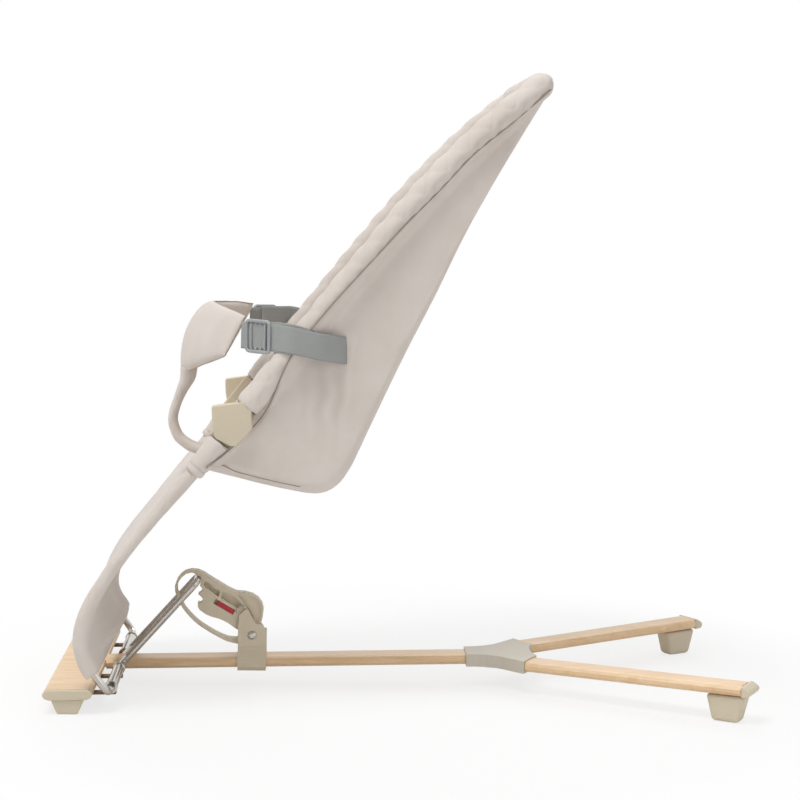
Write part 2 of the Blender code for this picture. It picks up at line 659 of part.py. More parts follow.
def top_route():
    """The upper frame: up one side, round both top corners, down the other."""
    near = side_route(CLAMP_INDEX, len(rail_plan()) - 1, -1)
    far = [Vector((p.x, -p.y, p.z)) for p in near]
    top_near, top_far = near[-1], far[-1]
    corner = rounded([near[-4], top_near, (top_near + top_far) / 2], TOP_RADIUS, 7)[1:-1]
    corner_far = [Vector((p.x, -p.y, p.z)) for p in corner]
    return near[:-3] + corner + list(reversed(corner_far)) + list(reversed(far[:-3]))


def make_frame(mats):
    steel = mats["steel"]
    for side, word in ((-1, "near"), (1, "far")):
        up = side_route(1, CLAMP_INDEX, side)
        up[-1] = up[-1] + (up[-2] - up[-1]).normalized() * 1.0
        stub = Vector((PIVOT_X, side * (SLEEVE_INNER_Y + SLEEVE_RUN / 2 + 1), PIVOT_Z))
        corner = Vector((PIVOT_X, side * RAIL_Y, PIVOT_Z))
        bend = rounded([stub, corner, up[1]], CORNER_RADIUS, 7)
        rod(f"lower_rail_{word}", bend[:-1] + up[1:], ROD_R, steel)
    inner = Vector((PIVOT_X, CRANK_Y, PIVOT_Z))
    pin = Vector((PIN_X, CRANK_Y, PIN_Z))
    half = rounded([inner + Vector((0, SLEEVE_RUN / 2 + SLEEVE_INNER_Y - CRANK_Y - 1, 0)), inner, pin,
                    Vector((PIN_X, 0, PIN_Z))], 9.0, 6)
    run = [half[0]]
    for a, b in zip(half, half[1:]):
        steps = max(1, round((b - a).length / 30))
        run += [a.lerp(b, (j + 1) / steps) for j in range(steps)]
    other = [Vector((p.x, -p.y, p.z)) for p in reversed(run[:-1])]
    rod("recline_crank", run + other, ROD_R, steel)
    rod("upper_frame", top_route(), TUBE_R, mats["frame_grey"])


def make_clamps(mats):
    """Each side has a shield outside and a plain half inside, closed round the two tube ends."""
    beige = mats["beige"]
    cx, cz = CLAMP_AT
    plan = rail_plan()
    along = (Vector(plan[CLAMP_INDEX + 1]) - Vector(plan[CLAMP_INDEX - 1])).normalized()
    across = Vector((along.y, -along.x))
    shield = [(-22, 21), (20, 27), (20.6, 3), (22, -2), (4.5, -21.5), (-2.5, -21.5), (-18.5, -13), (-21.4, 4)]
    shield = [(cx + a, cz + b) for a, b in shield]
    inner = []
    for a, b in ((-1, -1), (1, -1), (1, 1), (-1, 1)):
        corner = Vector((cx, cz)) + along * a * CLAMP_HALF + across * b * 13.0
        inner.append(tuple(corner))
    for side, word in ((-1, "near"), (1, "far")):
        outer_mid = side * (RAIL_Y + 0.2 + 6.2)
        inner_mid = side * (RAIL_Y - 0.2 - 5.4)
        outer = flat(f"clamp_shield_{word}", [shield], 12.4, beige, None, UPRIGHT, (0, outer_mid, 0))
        back = flat(f"clamp_back_{word}", [inner], 10.8, beige, None, UPRIGHT, (0, inner_mid, 0))
        for item in (outer, back):
            bevel(item, 2.0, 3)
            lower = side_route(CLAMP_INDEX - 2, CLAMP_INDEX + 1, side)
            low = to_mesh(rod(f"{item.name}_low_bore", lower, ROD_R + GAP, None))
            upper = side_route(CLAMP_INDEX, CLAMP_INDEX + 2, side)
            upper[0] = upper[0] - (upper[1] - upper[0]).normalized() * 0.6
            high = to_mesh(rod(f"{item.name}_high_bore", upper, TUBE_R + GAP, None))
            cut(item, low)
            cut(item, high)
        spot = Vector((cx, cz)) + across * 9.6
        screw = turned(f"clamp_screw_{word}", [(0, 2.2), (2.4, 2.0), (3.6, 1.0), (3.8, 0), (0, 0)], mats["steel"],
                       steps=16)
        face = side * (RAIL_Y - 0.2 - 10.8 - GAP)
        turn = Matrix.Rotation(math.radians(90 * side), 4, "X")
        screw.matrix_world = Matrix.Translation(Vector((spot.x, face, spot.y)) * MM) @ turn


# Cloth

def from_clamp(route, reach):
    """The route's points at least that far from the clamps, with one exactly there at each cut."""
    out = []
    for k, p in enumerate(route):
        clamp = Vector((CLAMP_AT[0], p.y, CLAMP_AT[1]))
        far = (p - clamp).length
        for other in (route[k - 1] if k else None, route[k + 1] if k + 1 < len(route) else None):
            if other is not None and far < reach <= (other - clamp).length:
                share = (reach - far) / ((other - clamp).length - far)
                out.append(p.lerp(other, share))
        if far >= reach + 4:
            out.append(p)
    return out


def make_wraps(mats):
    cloth = mats["cloth"]
    pipe("rim_padding", from_clamp(top_route(), 34.0), WRAP_R, WRAP_R - TUBE_R - GAP - 0.2, cloth, None, 3)
    for side, word in ((-1, "near"), (1, "far")):
        low = [p for p in side_route(1, CLAMP_INDEX, side) if p.z > 40]
        pipe(f"leg_sleeve_{word}", from_clamp(low, 25.0), ROD_R + GAP + SLEEVE_CLOTH, SLEEVE_CLOTH - 0.2, cloth)


def shell_edge():
    """The tube's middle line on the far side, from the cross bar's end round the corner and down the rail."""
    top = top_route()
    count = len(top) // 2
    upper = [p for p in top[count:]]
    lower = list(reversed([p for p in side_route(0, CLAMP_INDEX, 1) if p.z > 262]))
    return upper + lower[1:]


def shell_stations():
    """Pairs: a point on the rail, and the point in X and Z on the seat's back that belongs to it."""
    rail = shell_edge()
    back = [(p.x, 0, p.z) for p in smooth_route([(146, 0, 672), (122, 0, 638), (88, 0, 578), (58, 0, 520),
                                                 (28, 0, 455), (-4, 0, 390), (-38, 0, 316), (-51, 0, 288),
                                                 (-61, 0, 268), (-74, 0, 250), (-94, 0, 241.5),
                                                 (-127, 0, 245.5), (-176, 0, 256.5), (-212, 0, 267)], 9)]
    count = 30
    stations = []
    for k in range(count + 1):
        t = k / count
        here, there = sample(rail, t), sample(back, t)
        tangent = (sample(rail, min(t + 0.01, 1)) - sample(rail, max(t - 0.01, 0))).normalized()
        stations.append((here, there, tangent))
    return stations


def sample(line, t):
    """The point a fraction along a run of points, by length."""
    pts = [Vector(p) for p in line]
    lengths = [(b - a).length for a, b in zip(pts, pts[1:])]
    want = t * sum(lengths)
    for a, b, length in zip(pts, pts[1:], lengths):
        if want <= length:
            return a.lerp(b, want / length)
        want -= length
    return pts[-1]


def make_shell(mats):
    """The seat: two side panels hung from the rails and one panel that runs under and behind."""
    rows = []
    clamp = Vector((CLAMP_AT[0], RAIL_Y, CLAMP_AT[1]))
    for rail, back, tangent in shell_stations():
        flat_rail = Vector((rail.x, 0, rail.z))
        run = back - flat_rail
        direction = run.normalized()
        slant = math.sqrt(max(0.2, 1 - direction.dot(tangent) ** 2))
        hang = (WRAP_R + 2.1) / slant
        away = (rail - clamp).length
        if away < CLAMP_HALF + 22:
            hang = max(hang, 15.0 / slant)
        rim = flat_rail + direction * hang
        depth = max(run.length - hang, 1.5)
        half = rail.y - 2.0
        corner = min(SHELL_CORNER, depth * 0.8)
        row = [(half, 0.0), (half, 0.5 * (depth - corner)), (half - 1, depth - corner)]
        for angle in (30, 60, 90):
            a = math.radians(angle)
            row.append((half - 1 - corner * (1 - math.cos(a)), depth - corner * (1 - math.sin(a))))
        row += [(half * 0.5, depth + 1.0), (half * 0.25, depth + 2.0), (0.0, depth + 2.4)]
        row = [(-y, d) for y, d in row] + [(y, d) for y, d in reversed(row[:-1])]
        rows.append([(rim.x + direction.x * d, y, rim.z + direction.z * d) for y, d in row])
    sheet("seat_shell", rows, CLOTH, mats["cloth"])


def make_leg_panel(mats):
    """The panel between the lower rails: slack in the middle, its top edge turned back to the seat."""
    line = [p for p in side_route(2, CLAMP_INDEX, 1) if 40 < p.z < 246]
    reach = RAIL_Y - (ROD_R + GAP + SLEEVE_CLOTH) - 0.7
    sags = smooth_route([(38, 0, 10), (60, 0, 26), (88, 0, 35), (112, 0, 24), (140, 0, 12), (175, 0, 6),
                         (250, 0, 0)], 4)
    rows = []
    for k, p in enumerate(line):
        ahead = line[min(k + 1, len(line) - 1)] - line[max(k - 1, 0)]
        normal = Vector((ahead.z, 0, -ahead.x)).normalized()
        sag = min(sags, key=lambda point: abs(point.x - p.z)).z
        row = []
        for j in range(-6, 7):
            slack = sag * (1 - abs(j / 6) ** 3)
            row.append((p.x + normal.x * slack, reach * j / 6, p.z + normal.z * slack))
        rows.append(row)
    for x, z, narrow in ((-229, 253, 1), (-221, 258, 3), (-213.6, 261.6, 8)):
        rows.append([(x, (reach - narrow) * j / 6, z) for j in range(-6, 7)])
    sheet("leg_panel", rows, CLOTH, mats["cloth"], offset=0.0)


def make_straps(mats):
    cloth, web, clear = mats["cloth"], mats["webbing"], mats["clear_grey"]
    route = smooth_route([(-205.6, 0, 266.4), (-213.5, 0, 268.2), (-221, 0, 269.8), (-231, 0, 270.5), (-243, 0, 275),
                          (-254, 0, 287), (-259.5, 0, 304), (-256, 0, 322), (-249, 0, 339), (-246.4, 0, 353.1)], 9)
    rows = [[(p.x, y, p.z) for y in (-CROTCH_WIDTH / 2, 0, CROTCH_WIDTH / 2)] for p in route]
    sheet("crotch_strap", rows, CROTCH_THICK, cloth)
    make_pad(cloth)
    for side, word in ((-1, "near"), (1, "far")):
        make_waist_strap(side, word, web, clear)


def make_pad(cloth):
    """The pad in front of the child's belly: it leans back towards its top and has two wings."""
    half = PAD_SPAN / 2
    rows = []
    for k in range(8):
        t = k / 7
        middle = -246 + 5 * t + 28 * t ** 3
        wing = -192 + 22 * t
        row = []
        for j in range(-9, 10):
            v = j / 9
            s = abs(v) ** 1.25
            low, high = 354 + 31 * abs(v), 440 - 11 * v * v
            row.append((middle * (1 - s) + wing * s, v * (half - PAD_TAPER * (1 - t)), low + (high - low) * t))
        rows.append(row)
    sheet("crotch_pad", rows, PAD_THICK, cloth)


def ribbon(name, route, width, thick, material):
    """Webbing on edge: it runs along the route and stands upright."""
    rows = [[(p.x, p.y, p.z - width / 2) for p in route], [(p.x, p.y, p.z + width / 2) for p in route]]
    return sheet(name, rows, thick, material)


def make_waist_strap(side, word, web, clear):
    """From a slot in the side panel, outside the padded rail, and in to the pad's wing."""
    out = RAIL_Y + WRAP_R + 4.0
    wing = Vector((-176.2, side * (PAD_SPAN / 2 + 2.3), 410))
    bend = Vector((-128, side * (out + 2.5), 408))
    route = rounded([Vector((-70, side * (RAIL_Y + 0.9), 396)), Vector((-90, side * out, 400)), bend, wing], 11)
    ribbon(f"waist_strap_{word}", route, WEBBING_WIDTH, WEBBING_THICK, web)
    direction = (wing - bend).normalized()
    centre = wing - direction * 21
    turn = Matrix.Rotation(math.atan2(direction.y, direction.x), 4, "Z")
    make_adjuster(word, centre, turn, side, clear)


def make_adjuster(word, centre, turn, side, clear):
    """A three-bar slide: two bars lie outside the webbing and the middle one behind it."""
    long, high = 36.0, WEBBING_WIDTH + 9
    item = flat(f"strap_adjuster_{word}", [[(-long / 2, -high / 2), (long / 2, -high / 2), (long / 2, high / 2),
                                            (-long / 2, high / 2)]], 6.6, clear, None, UPRIGHT)
    item.matrix_world = Matrix.Translation(centre * MM) @ turn @ UPRIGHT
    inner = WEBBING_WIDTH + 2.0
    for k, x in enumerate((-8.0, 8.0)):
        window = box(f"adjuster_window_{word}_{k}", (11.5, inner, 20), (0, 0, 0), None)
        window.matrix_world = Matrix.Translation(centre * MM) @ turn @ UPRIGHT @ Matrix.Translation((x * MM, 0, 0))
        cut(item, window)
    slit = box(f"adjuster_slit_{word}", (long * 2, inner, WEBBING_THICK + 1.4), (0, 0, 0), None)
    slit.matrix_world = Matrix.Translation(centre * MM) @ turn @ UPRIGHT
    cut(item, slit)
    return item


def main():
    clear_scene()
    mats = {
        "wood": finish("beech", (0.62, 0.46, 0.31), 0.5),
        "beige": finish("beige_plastic", (0.58, 0.49, 0.37), 0.45),
        "grey_beige": finish("grey_beige_plastic", (0.55, 0.52, 0.45), 0.5),
        "steel": finish("bright_steel", (0.75, 0.74, 0.72), 0.15, 1.0),
        "frame_grey": finish("frame_tube", (0.55, 0.54, 0.52), 0.35, 0.8),
        "brown": finish("brown_lacquered_steel", (0.24, 0.15, 0.09), 0.45, 0.3),
        "red": finish("red_plastic", (0.55, 0.03, 0.04), 0.4),
        "cloth": finish("greige_cloth", (0.56, 0.5, 0.45), 0.9),
        "webbing": finish("grey_webbing", (0.3, 0.3, 0.3), 0.8),
        "clear_grey": finish("clear_grey_plastic", (0.42, 0.43, 0.44), 0.3),
    }
    plane = make_base(mats)
    make_lever(mats)
    make_bracket(plane, mats)
    make_frame(mats)
    make_clamps(mats)
    make_wraps(mats)
    make_shell(mats)
    make_leg_panel(mats)
    make_straps(mats)


main()
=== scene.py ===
"""A baby bouncer on a beech base: fabric seat, quilted rim, sprung steel rods and a notched latch lever."""
import bisect
import json
import math

import bmesh
import bpy
from mathutils import Matrix, Vector, noise


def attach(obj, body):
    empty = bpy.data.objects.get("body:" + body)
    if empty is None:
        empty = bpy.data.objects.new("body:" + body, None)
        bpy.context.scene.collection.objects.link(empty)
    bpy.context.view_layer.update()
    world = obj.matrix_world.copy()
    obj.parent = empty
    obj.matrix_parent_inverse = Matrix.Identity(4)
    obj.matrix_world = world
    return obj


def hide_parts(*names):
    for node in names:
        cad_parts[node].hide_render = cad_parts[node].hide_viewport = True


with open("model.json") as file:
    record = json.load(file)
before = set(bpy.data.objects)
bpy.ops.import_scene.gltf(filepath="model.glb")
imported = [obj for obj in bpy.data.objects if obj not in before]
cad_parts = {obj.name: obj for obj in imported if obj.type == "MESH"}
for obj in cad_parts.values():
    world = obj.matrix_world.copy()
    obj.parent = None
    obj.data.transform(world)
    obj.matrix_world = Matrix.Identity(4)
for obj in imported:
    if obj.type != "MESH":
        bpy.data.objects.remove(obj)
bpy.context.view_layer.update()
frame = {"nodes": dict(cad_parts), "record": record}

MM = 0.001

# Driving sizes, in millimetres: the side rail's middle line, from the hem to the top corner, in X and Z
RAIL = [(-330, 35), (-341, 55), (-346, 76), (-343.5, 98), (-334, 124), (-317, 152), (-296, 180), (-273, 209),
        (-249, 238), (-221, 271), (-186, 315), (-149, 361.5), (-103, 420.5), (-46, 492), (9, 558), (54, 606),
        (100, 649), (137, 679)]
CLAMP = (-186, 315)
RAIL_Y = 152.5
TOP_RADIUS = 42.0
# The seat's back, from the top bar down to the front corner under the clamps
BACK = [(144.5, 670.5), (122, 638), (88, 578), (58, 520), (28, 455), (-4, 390), (-38, 316), (-50, 289),
        (-60, 268), (-74, 249), (-94, 240), (-127, 244), (-176, 255), (-214.5, 266.5)]
# The piped seam that joins the seat's side to the quilted roll, down to the same corner
SEAM = [(145.2, 674.6), (142.6, 672.4), (102.6, 636.8), (65.2, 605.5), (29.1, 566.3), (-3.1, 533),
        (-34.8, 497.8), (-87.9, 437.7), (-124.8, 388.3), (-148.6, 333.5), (-167.5, 308.7), (-194.3, 283.7),
        (-213.2, 269.5)]
# The cloth round each lower rail, by height: its radius, and how far the slack panel hangs behind the rails
SLEEVE = [(43, 8.4), (75, 9.0), (100, 9.2), (130, 7.6), (150, 6.9), (175, 6.1), (195, 5.8), (215, 6.3),
          (240, 7.2)]
SLACK = [(43, 9), (50, 20), (58, 30), (67, 35), (77, 32), (89, 23), (101, 14), (113, 7), (126, 2), (140, -2),
         (160, -4), (222, -3), (238, 0), (250, 6), (264, 11.5)]
LEG_CLOTH_TOP = 60.0
# A cuff's radius from its lower edge up, and where it lies below the clamp
CUFF = [(0, 9.8), (0.05, 11.0), (0.14, 11.0), (0.19, 10.2), (0.24, 11.2), (0.6, 12.2), (0.95, 12.9),
        (0.98, 12.2), (1, 7.0)]
CUFF_LOW = 66.0
CUFF_HIGH = 24.6
# The quilted roll's radius, where it starts above the clamps, and the spacing of the sewn lines
WRAP_R = 11.2
ROLL_START = 25.5
QUILT = 32.0
SEAM_RISE = 7.5
WEBBING = 29.0
BELT_Y = RAIL_Y + 15.0
SLIDE_LENGTH = 34.0
PAD_HALF = 132.0
# The crotch strap's route, and half its width and thickness from one end to the other
CROTCH = [(-207, 267), (-221, 269.5), (-231, 270), (-243, 275), (-254.5, 285.5), (-260, 303), (-256.5, 320),
          (-249.5, 338), (-243.5, 351), (-242, 364)]
CROTCH_WIDE = [(0, 17), (0.2, 15), (0.5, 13.5), (0.75, 15), (1, 22)]
CROTCH_THICK = [(0, 7.5), (0.2, 6.0), (0.45, 5.2), (0.7, 5.4), (0.82, 6.6), (0.92, 8.6), (1, 9.4)]
# Each lamp's place, size in metres and power
LAMPS = {"key": ((-1.0, -0.9, 2.9), 1.2, 46.0), "fill": ((1.8, -2.2, 1.0), 1.8, 6.0),
         "back": ((0.4, 1.9, 2.2), 1.6, 16.0)}
EYE = (-0.1001, -2.272, 0.5596)
LENS = 90.0


# Shader building

class Wire:
    """A node's output that ordinary arithmetic works on."""

    def __init__(self, nodes, socket):
        self.nodes, self.socket = nodes, socket

    def math(self, operation, *others):
        return self.nodes.node("ShaderNodeMath", {"operation": operation}, [self, *others])

    def __add__(self, other):
        return self.math("ADD", other)

    def __sub__(self, other):
        return self.math("SUBTRACT", other)

    def __mul__(self, other):
        return self.math("MULTIPLY", other)

    def __pow__(self, other):
        return self.math("POWER", other)

    def __radd__(self, other):
        return self + other

    def __rmul__(self, other):
        return self * other

    def __rsub__(self, other):
        return self.nodes.node("ShaderNodeMath", {"operation": "SUBTRACT"}, [other, self])

    def larger(self, other):
        return self.math("MAXIMUM", other)

    def sin(self):
        return self.math("SINE")

    def clamp(self):
        return self.nodes.node("ShaderNodeClamp", {}, [self])


class Nodes:
    """A node tree and the one way that its nodes are made."""

    def __init__(self, tree):
        self.tree = tree

    def node(self, kind, settings, values=(), output=0):
        """Makes a node: first its settings, then its inputs by place or name; returns one output."""
        made = self.tree.nodes.new(kind)
        for key, value in settings.items():
            if key == "stops":
                self.set_stops(made.color_ramp, value)
            else:
                setattr(made, key, value)
        pairs = values.items() if isinstance(values, dict) else enumerate(values)
        for key, value in pairs:
            self.plug(made.inputs[key], value)
        return None if output is None else Wire(self, made.outputs[output])

    def set_stops(self, ramp, stops):
        while len(ramp.elements) < len(stops):
            ramp.elements.new(1.0)
        for element, (place, value) in zip(ramp.elements, stops):
            element.position = place
            element.color = (*value, 1.0) if hasattr(value, "__len__") else (value, value, value, 1.0)

    def plug(self, socket, value):
        if isinstance(value, Wire):
            self.tree.links.new(value.socket, socket)
        elif hasattr(value, "__len__") and len(value) == 3 and socket.type == "RGBA":
            socket.default_value = (*value, 1.0)
        else:
            socket.default_value = value

    def split(self, vector):
        made = self.node("ShaderNodeSeparateXYZ", {}, [vector])
        return [Wire(self, out) for out in made.socket.node.outputs]


class Finish(Nodes):
    """A material with its surface shader."""

    def __init__(self, name):
        self.material = bpy.data.materials.new(name)
        self.material.use_nodes = True
        super().__init__(self.material.node_tree)
        self.shader = self.tree.nodes["Principled BSDF"]

    def set(self, **values):
        """Sets the surface shader's own sockets."""
        for key, value in values.items():
            self.plug(self.shader.inputs[key.replace("_", " ")], value)
        return self.material

    def place(self, turn=(0, 0, 0), scale=(1, 1, 1)):
        """Object coordinates in metres, turned in degrees and scaled."""
        values = {"Vector": self.node("ShaderNodeTexCoord", {}, output="Object"), "Scale": scale,
                  "Rotation": [math.radians(a) for a in turn]}
        return self.node("ShaderNodeMapping", {}, values)

    def noise(self, vector, scale, detail=2.0, roughness=0.5, distortion=0.0):
        return self.node("ShaderNodeTexNoise", {}, {"Vector": vector, "Scale": scale, "Detail": detail,
                                                    "Roughness": roughness, "Distortion": distortion})

    def voronoi(self, vector, scale):
        return self.node("ShaderNodeTexVoronoi", {}, {"Vector": vector, "Scale": scale})

    def ramp(self, value, stops):
        return self.node("ShaderNodeValToRGB", {"stops": stops}, [value])

    def blend(self, factor, a, b):
        return self.node("ShaderNodeMix", {"data_type": "RGBA"}, {0: factor, 6: a, 7: b}, output=2)

    def bump(self, height, distance):
        return self.node("ShaderNodeBump", {}, {"Height": height, "Distance": distance})


# Finishes

def beech(name, turn):
    """Pale lacquered beech: its grain runs along the turned X axis, with short dark flecks."""
    f = Finish(name)
    along = f.place(turn=(0, 0, turn), scale=(1.0, 9.0, 9.0))
    bands = f.noise(along, 9.0, 3.0, 0.6, 0.6)
    fine = f.noise(f.place(turn=(0, 0, turn), scale=(1.0, 30.0, 30.0)), 42.0, 4.0, 0.7)
    fleck = f.voronoi(f.place(turn=(0, 0, turn), scale=(0.22, 2.2, 2.2)), 700.0)
    flecks = f.ramp(fleck, [(0.0, 1.0), (0.16, 0.0)])
    wood = [(0.25, (0.67, 0.45, 0.235)), (0.5, (0.78, 0.55, 0.325)), (0.75, (0.86, 0.635, 0.41))]
    colour = f.ramp(bands, wood)
    colour = f.blend(f.ramp(fine, [(0.35, 0.0), (0.7, 0.28)]), colour, (0.56, 0.345, 0.16))
    colour = f.blend(flecks * 0.35, colour, (0.36, 0.2, 0.1))
    height = fine * 0.5 - flecks * 0.6
    return f.set(Base_Color=colour, Roughness=0.34 + 0.14 * fine, Coat_Weight=0.25, Coat_Roughness=0.3,
                 Normal=f.bump(height, 0.00006))


def moulded(name, colour, grain=1.0, rough=0.42):
    """Moulded plastic with a fine spark-eroded grain and slightly uneven colour."""
    f = Finish(name)
    spot = f.place()
    cloud = f.noise(spot, 14.0, 3.0)
    grit = f.noise(spot, 2600.0, 2.0, 0.6)
    wave = f.noise(spot, 160.0, 2.0)
    dark = tuple(c * 0.93 for c in colour)
    return f.set(Base_Color=f.blend(f.ramp(cloud, [(0.35, 0.0), (0.65, 1.0)]), dark, colour),
                 Roughness=rough + 0.12 * grit,
                 Normal=f.bump(grit * 0.5 * grain + wave * 0.5, 0.00005))


def polished_steel():
    """Nickel-bright rod with a faint drawn grain."""
    f = Finish("polished_steel")
    smear = f.noise(f.place(), 30.0, 2.0, 0.5)
    return f.set(Base_Color=f.blend(smear, (0.5, 0.47, 0.43), (0.64, 0.61, 0.57)), Metallic=1.0,
                 Roughness=0.13 + 0.06 * smear)


def painted_tube():
    f = Finish("painted_tube")
    spot = f.place()
    peel = f.noise(spot, 900.0, 2.0)
    return f.set(Base_Color=(0.5, 0.49, 0.47), Metallic=0.6, Roughness=0.35 + 0.1 * peel,
                 Normal=f.bump(peel, 0.00003))


def brown_steel():
    f = Finish("brown_lacquer")
    spot = f.place()
    peel = f.noise(spot, 1200.0, 2.0)
    cloud = f.noise(spot, 30.0, 3.0)
    return f.set(Base_Color=f.blend(cloud, (0.2, 0.12, 0.07), (0.28, 0.18, 0.1)), Metallic=0.3,
                 Roughness=0.35 + 0.15 * peel, Normal=f.bump(peel, 0.00003))


def woven_cloth(name, colour, pitch=0.00055):
    """Close plain-weave cotton with slubs and a faint nap, and painted shade in its creases."""
    f = Finish(name)
    spot = f.place()
    x, y, z = f.split(spot)
    warp = (x * (math.tau / pitch) + z * (0.35 * math.tau / pitch)).sin()
    weft = (z * (math.tau / pitch) + y * (math.tau / pitch)).sin()
    weave = warp * weft
    slub = f.noise(f.place(scale=(1, 1, 7)), 260.0, 3.0, 0.6)
    cloud = f.noise(spot, 16.0, 4.0, 0.6)
    # Painted shade: the fold attribute says how far creases, seams and sewn lines are darkened
    painted_crease_shade = f.node("ShaderNodeAttribute", {"attribute_name": "fold"}, output="Fac")
    dark = tuple(c * k for c, k in zip(colour, (0.93, 0.91, 0.9)))
    tone = f.blend(f.ramp(cloud, [(0.35, 0.0), (0.65, 1.0)]), dark, colour)
    tone = f.blend((weave * 0.5 + 0.5) * 0.1 + slub * 0.12, tone, tuple(c * 0.74 for c in colour))
    tone = f.blend((painted_crease_shade * 0.6).clamp(), tone, tuple(c * k for c, k in zip(colour, (0.5, 0.45, 0.42))))
    return f.set(Base_Color=tone, Roughness=0.86 + 0.1 * slub, Sheen_Weight=0.2, Sheen_Roughness=0.5,
                 Normal=f.bump(weave * 0.25 + slub * 0.6, 0.00012))


def webbing(name, colour):
    f = Finish(name)
    x, y, z = f.split(f.place())
    rib = (z * (math.tau / 0.0016)).sin()
    twill = ((x + y) * (math.tau / 0.0011) + z * (math.tau / 0.0022)).sin()
    fuzz = f.noise(f.place(), 1500.0, 2.0)
    weave = rib * 0.5 + twill * 0.5
    tone = f.blend((weave * 0.5 + 0.5) * 0.5 + fuzz * 0.3, tuple(c * 1.12 for c in colour),
                   tuple(c * 0.7 for c in colour))
    return f.set(Base_Color=tone, Roughness=0.7 + 0.15 * fuzz, Normal=f.bump(weave, 0.00015))


def make_finishes():
    return {
        "wood_x": beech("beech_along", 0),
        "wood_y": beech("beech_across", 90),
        "wood_near": beech("beech_near_leg", 30),
        "wood_far": beech("beech_far_leg", -30),
        "beige": moulded("beige_plastic", (0.66, 0.575, 0.43)),
        "grey_beige": moulded("grey_beige_plastic", (0.6, 0.55, 0.46)),
        "steel": polished_steel(),
        "frame_grey": painted_tube(),
        "brown": brown_steel(),
        "red": moulded("red_plastic", (0.5, 0.02, 0.035), 0.6, 0.35),
        "cloth": woven_cloth("seat_cloth", (0.72, 0.655, 0.6)),
        "webbing": webbing("grey_webbing", (0.36, 0.37, 0.36)),
        "clear_grey": moulded("grey_plastic", (0.36, 0.37, 0.38), 0.4, 0.3),
        # The seam finish is dark: its cords stand for the shadow line along the seams, painted shade
        "seam": woven_cloth("seam_shade_cloth", (0.36, 0.3, 0.255)),
        "thread": woven_cloth("thread", (0.6, 0.53, 0.47), 0.0003),
    }


def paint_cad(finishes):
    """Every carried-over CAD node takes the finish of its material slot; wood follows its grain."""
    slots = {row["node"]: row["material_slot"] for row in frame["record"]["subparts"]}
    grain = {"front_board": "wood_y", "stem_beam": "wood_x", "rear_leg_near": "wood_near",
             "rear_leg_far": "wood_far"}
    for name, node in frame["nodes"].items():
        finish = finishes[grain.get(name, slots[name])]
        for place in node.material_slots:
            place.material = finish
        if not node.material_slots:
            node.data.materials.append(finish)


# Paths and surfaces

def smooth_route(points, spacing):
    """Points along a smooth curve through the given ones."""
    pts = [Vector(p) for p in points]
    ends = [pts[0] * 2 - pts[1]] + pts + [pts[-1] * 2 - pts[-2]]
    route = []
    for k in range(1, len(ends) - 2):
        a, b, c, d = ends[k - 1:k + 3]
        steps = max(1, round((c - b).length / spacing))
        for j in range(steps):
            t = j / steps
            route.append(0.5 * ((2 * b) + (c - a) * t + (2 * a - 5 * b + 4 * c - d) * t * t
                                + (3 * b - a - 3 * c + d) * t ** 3))
    route.append(pts[-1])
    return route


def rounded(points, radius, steps):
    """Points of a line whose corners are rounded, each as far as its two runs allow."""
    pts = [Vector(p) for p in points]
    out = [pts[0]]
    for before, here, after in zip(pts, pts[1:], pts[2:]):
        ahead, back = (after - here), (before - here)
        cut_off = min(radius, 0.45 * ahead.length, 0.45 * back.length)
        start, end = here + back.normalized() * cut_off, here + ahead.normalized() * cut_off
        for j in range(steps + 1):
            t = j / steps
            out.append(start * (1 - t) ** 2 + here * 2 * t * (1 - t) + end * t * t)
    return out + [pts[-1]]


class Path:
    """A run of points, read by the distance along it."""

    def __init__(self, points):
        self.points = [Vector(p) for p in points]
        self.marks = [0.0]
        for a, b in zip(self.points, self.points[1:]):
            self.marks.append(self.marks[-1] + (b - a).length)
        self.length = self.marks[-1]

    def at(self, distance):
        distance = min(max(distance, 0.0), self.length)
        k = min(max(bisect.bisect_right(self.marks, distance), 1), len(self.points) - 1)
        a, b = self.points[k - 1], self.points[k]
        return a.lerp(b, (distance - self.marks[k - 1]) / max(self.marks[k] - self.marks[k - 1], 1e-9))

    def heading(self, distance, reach=3.0):
        return (self.at(distance + reach) - self.at(distance - reach)).normalized()

    def steps(self, spacing, start=0.0, end=None):
        end = self.length if end is None else end
        count = max(1, round((end - start) / spacing))
        return [start + (end - start) * k / count for k in range(count + 1)]

    def nearest_mark(self, distance, other):
        """The distance along this path where its points pair with those of another of as many points."""
        k = min(bisect.bisect_right(other.marks, distance), len(other.marks) - 1)
        share = (distance - other.marks[k - 1]) / max(other.marks[k] - other.marks[k - 1], 1e-9)
        return self.marks[k - 1] + (self.marks[k] - self.marks[k - 1]) * min(max(share, 0.0), 1.0)

    def nearest(self, point):
        return min(self.steps(1.0), key=lambda d: (self.at(d) - Vector(point)).length)


def side_route(table, spacing=3, y=0.0):
    """A smooth path through pairs of X and Z, in an upright plane along the bouncer."""
    return Path(smooth_route([(x, y, z) for x, z in table], spacing))


def mirrored(points):
    return [Vector((p.x, -p.y, p.z)) for p in points]


def between(table, value):
    """A value read off a table of pairs, with straight lines between them."""
    for (a, low), (b, high) in zip(table, table[1:]):
        if value <= b:
            return low + (high - low) * min(max((value - a) / (b - a), 0.0), 1.0)
    return table[-1][1]


def ease(t):
    t = min(max(t, 0.0), 1.0)
    return t * t * (3 - 2 * t)


def drift(point, wave, seed=0.0):
    """Smooth unevenness from -1 to 1, about one swell per wave length."""
    return noise.noise(Vector(point) / wave + Vector((seed, seed * 1.7, -seed)))


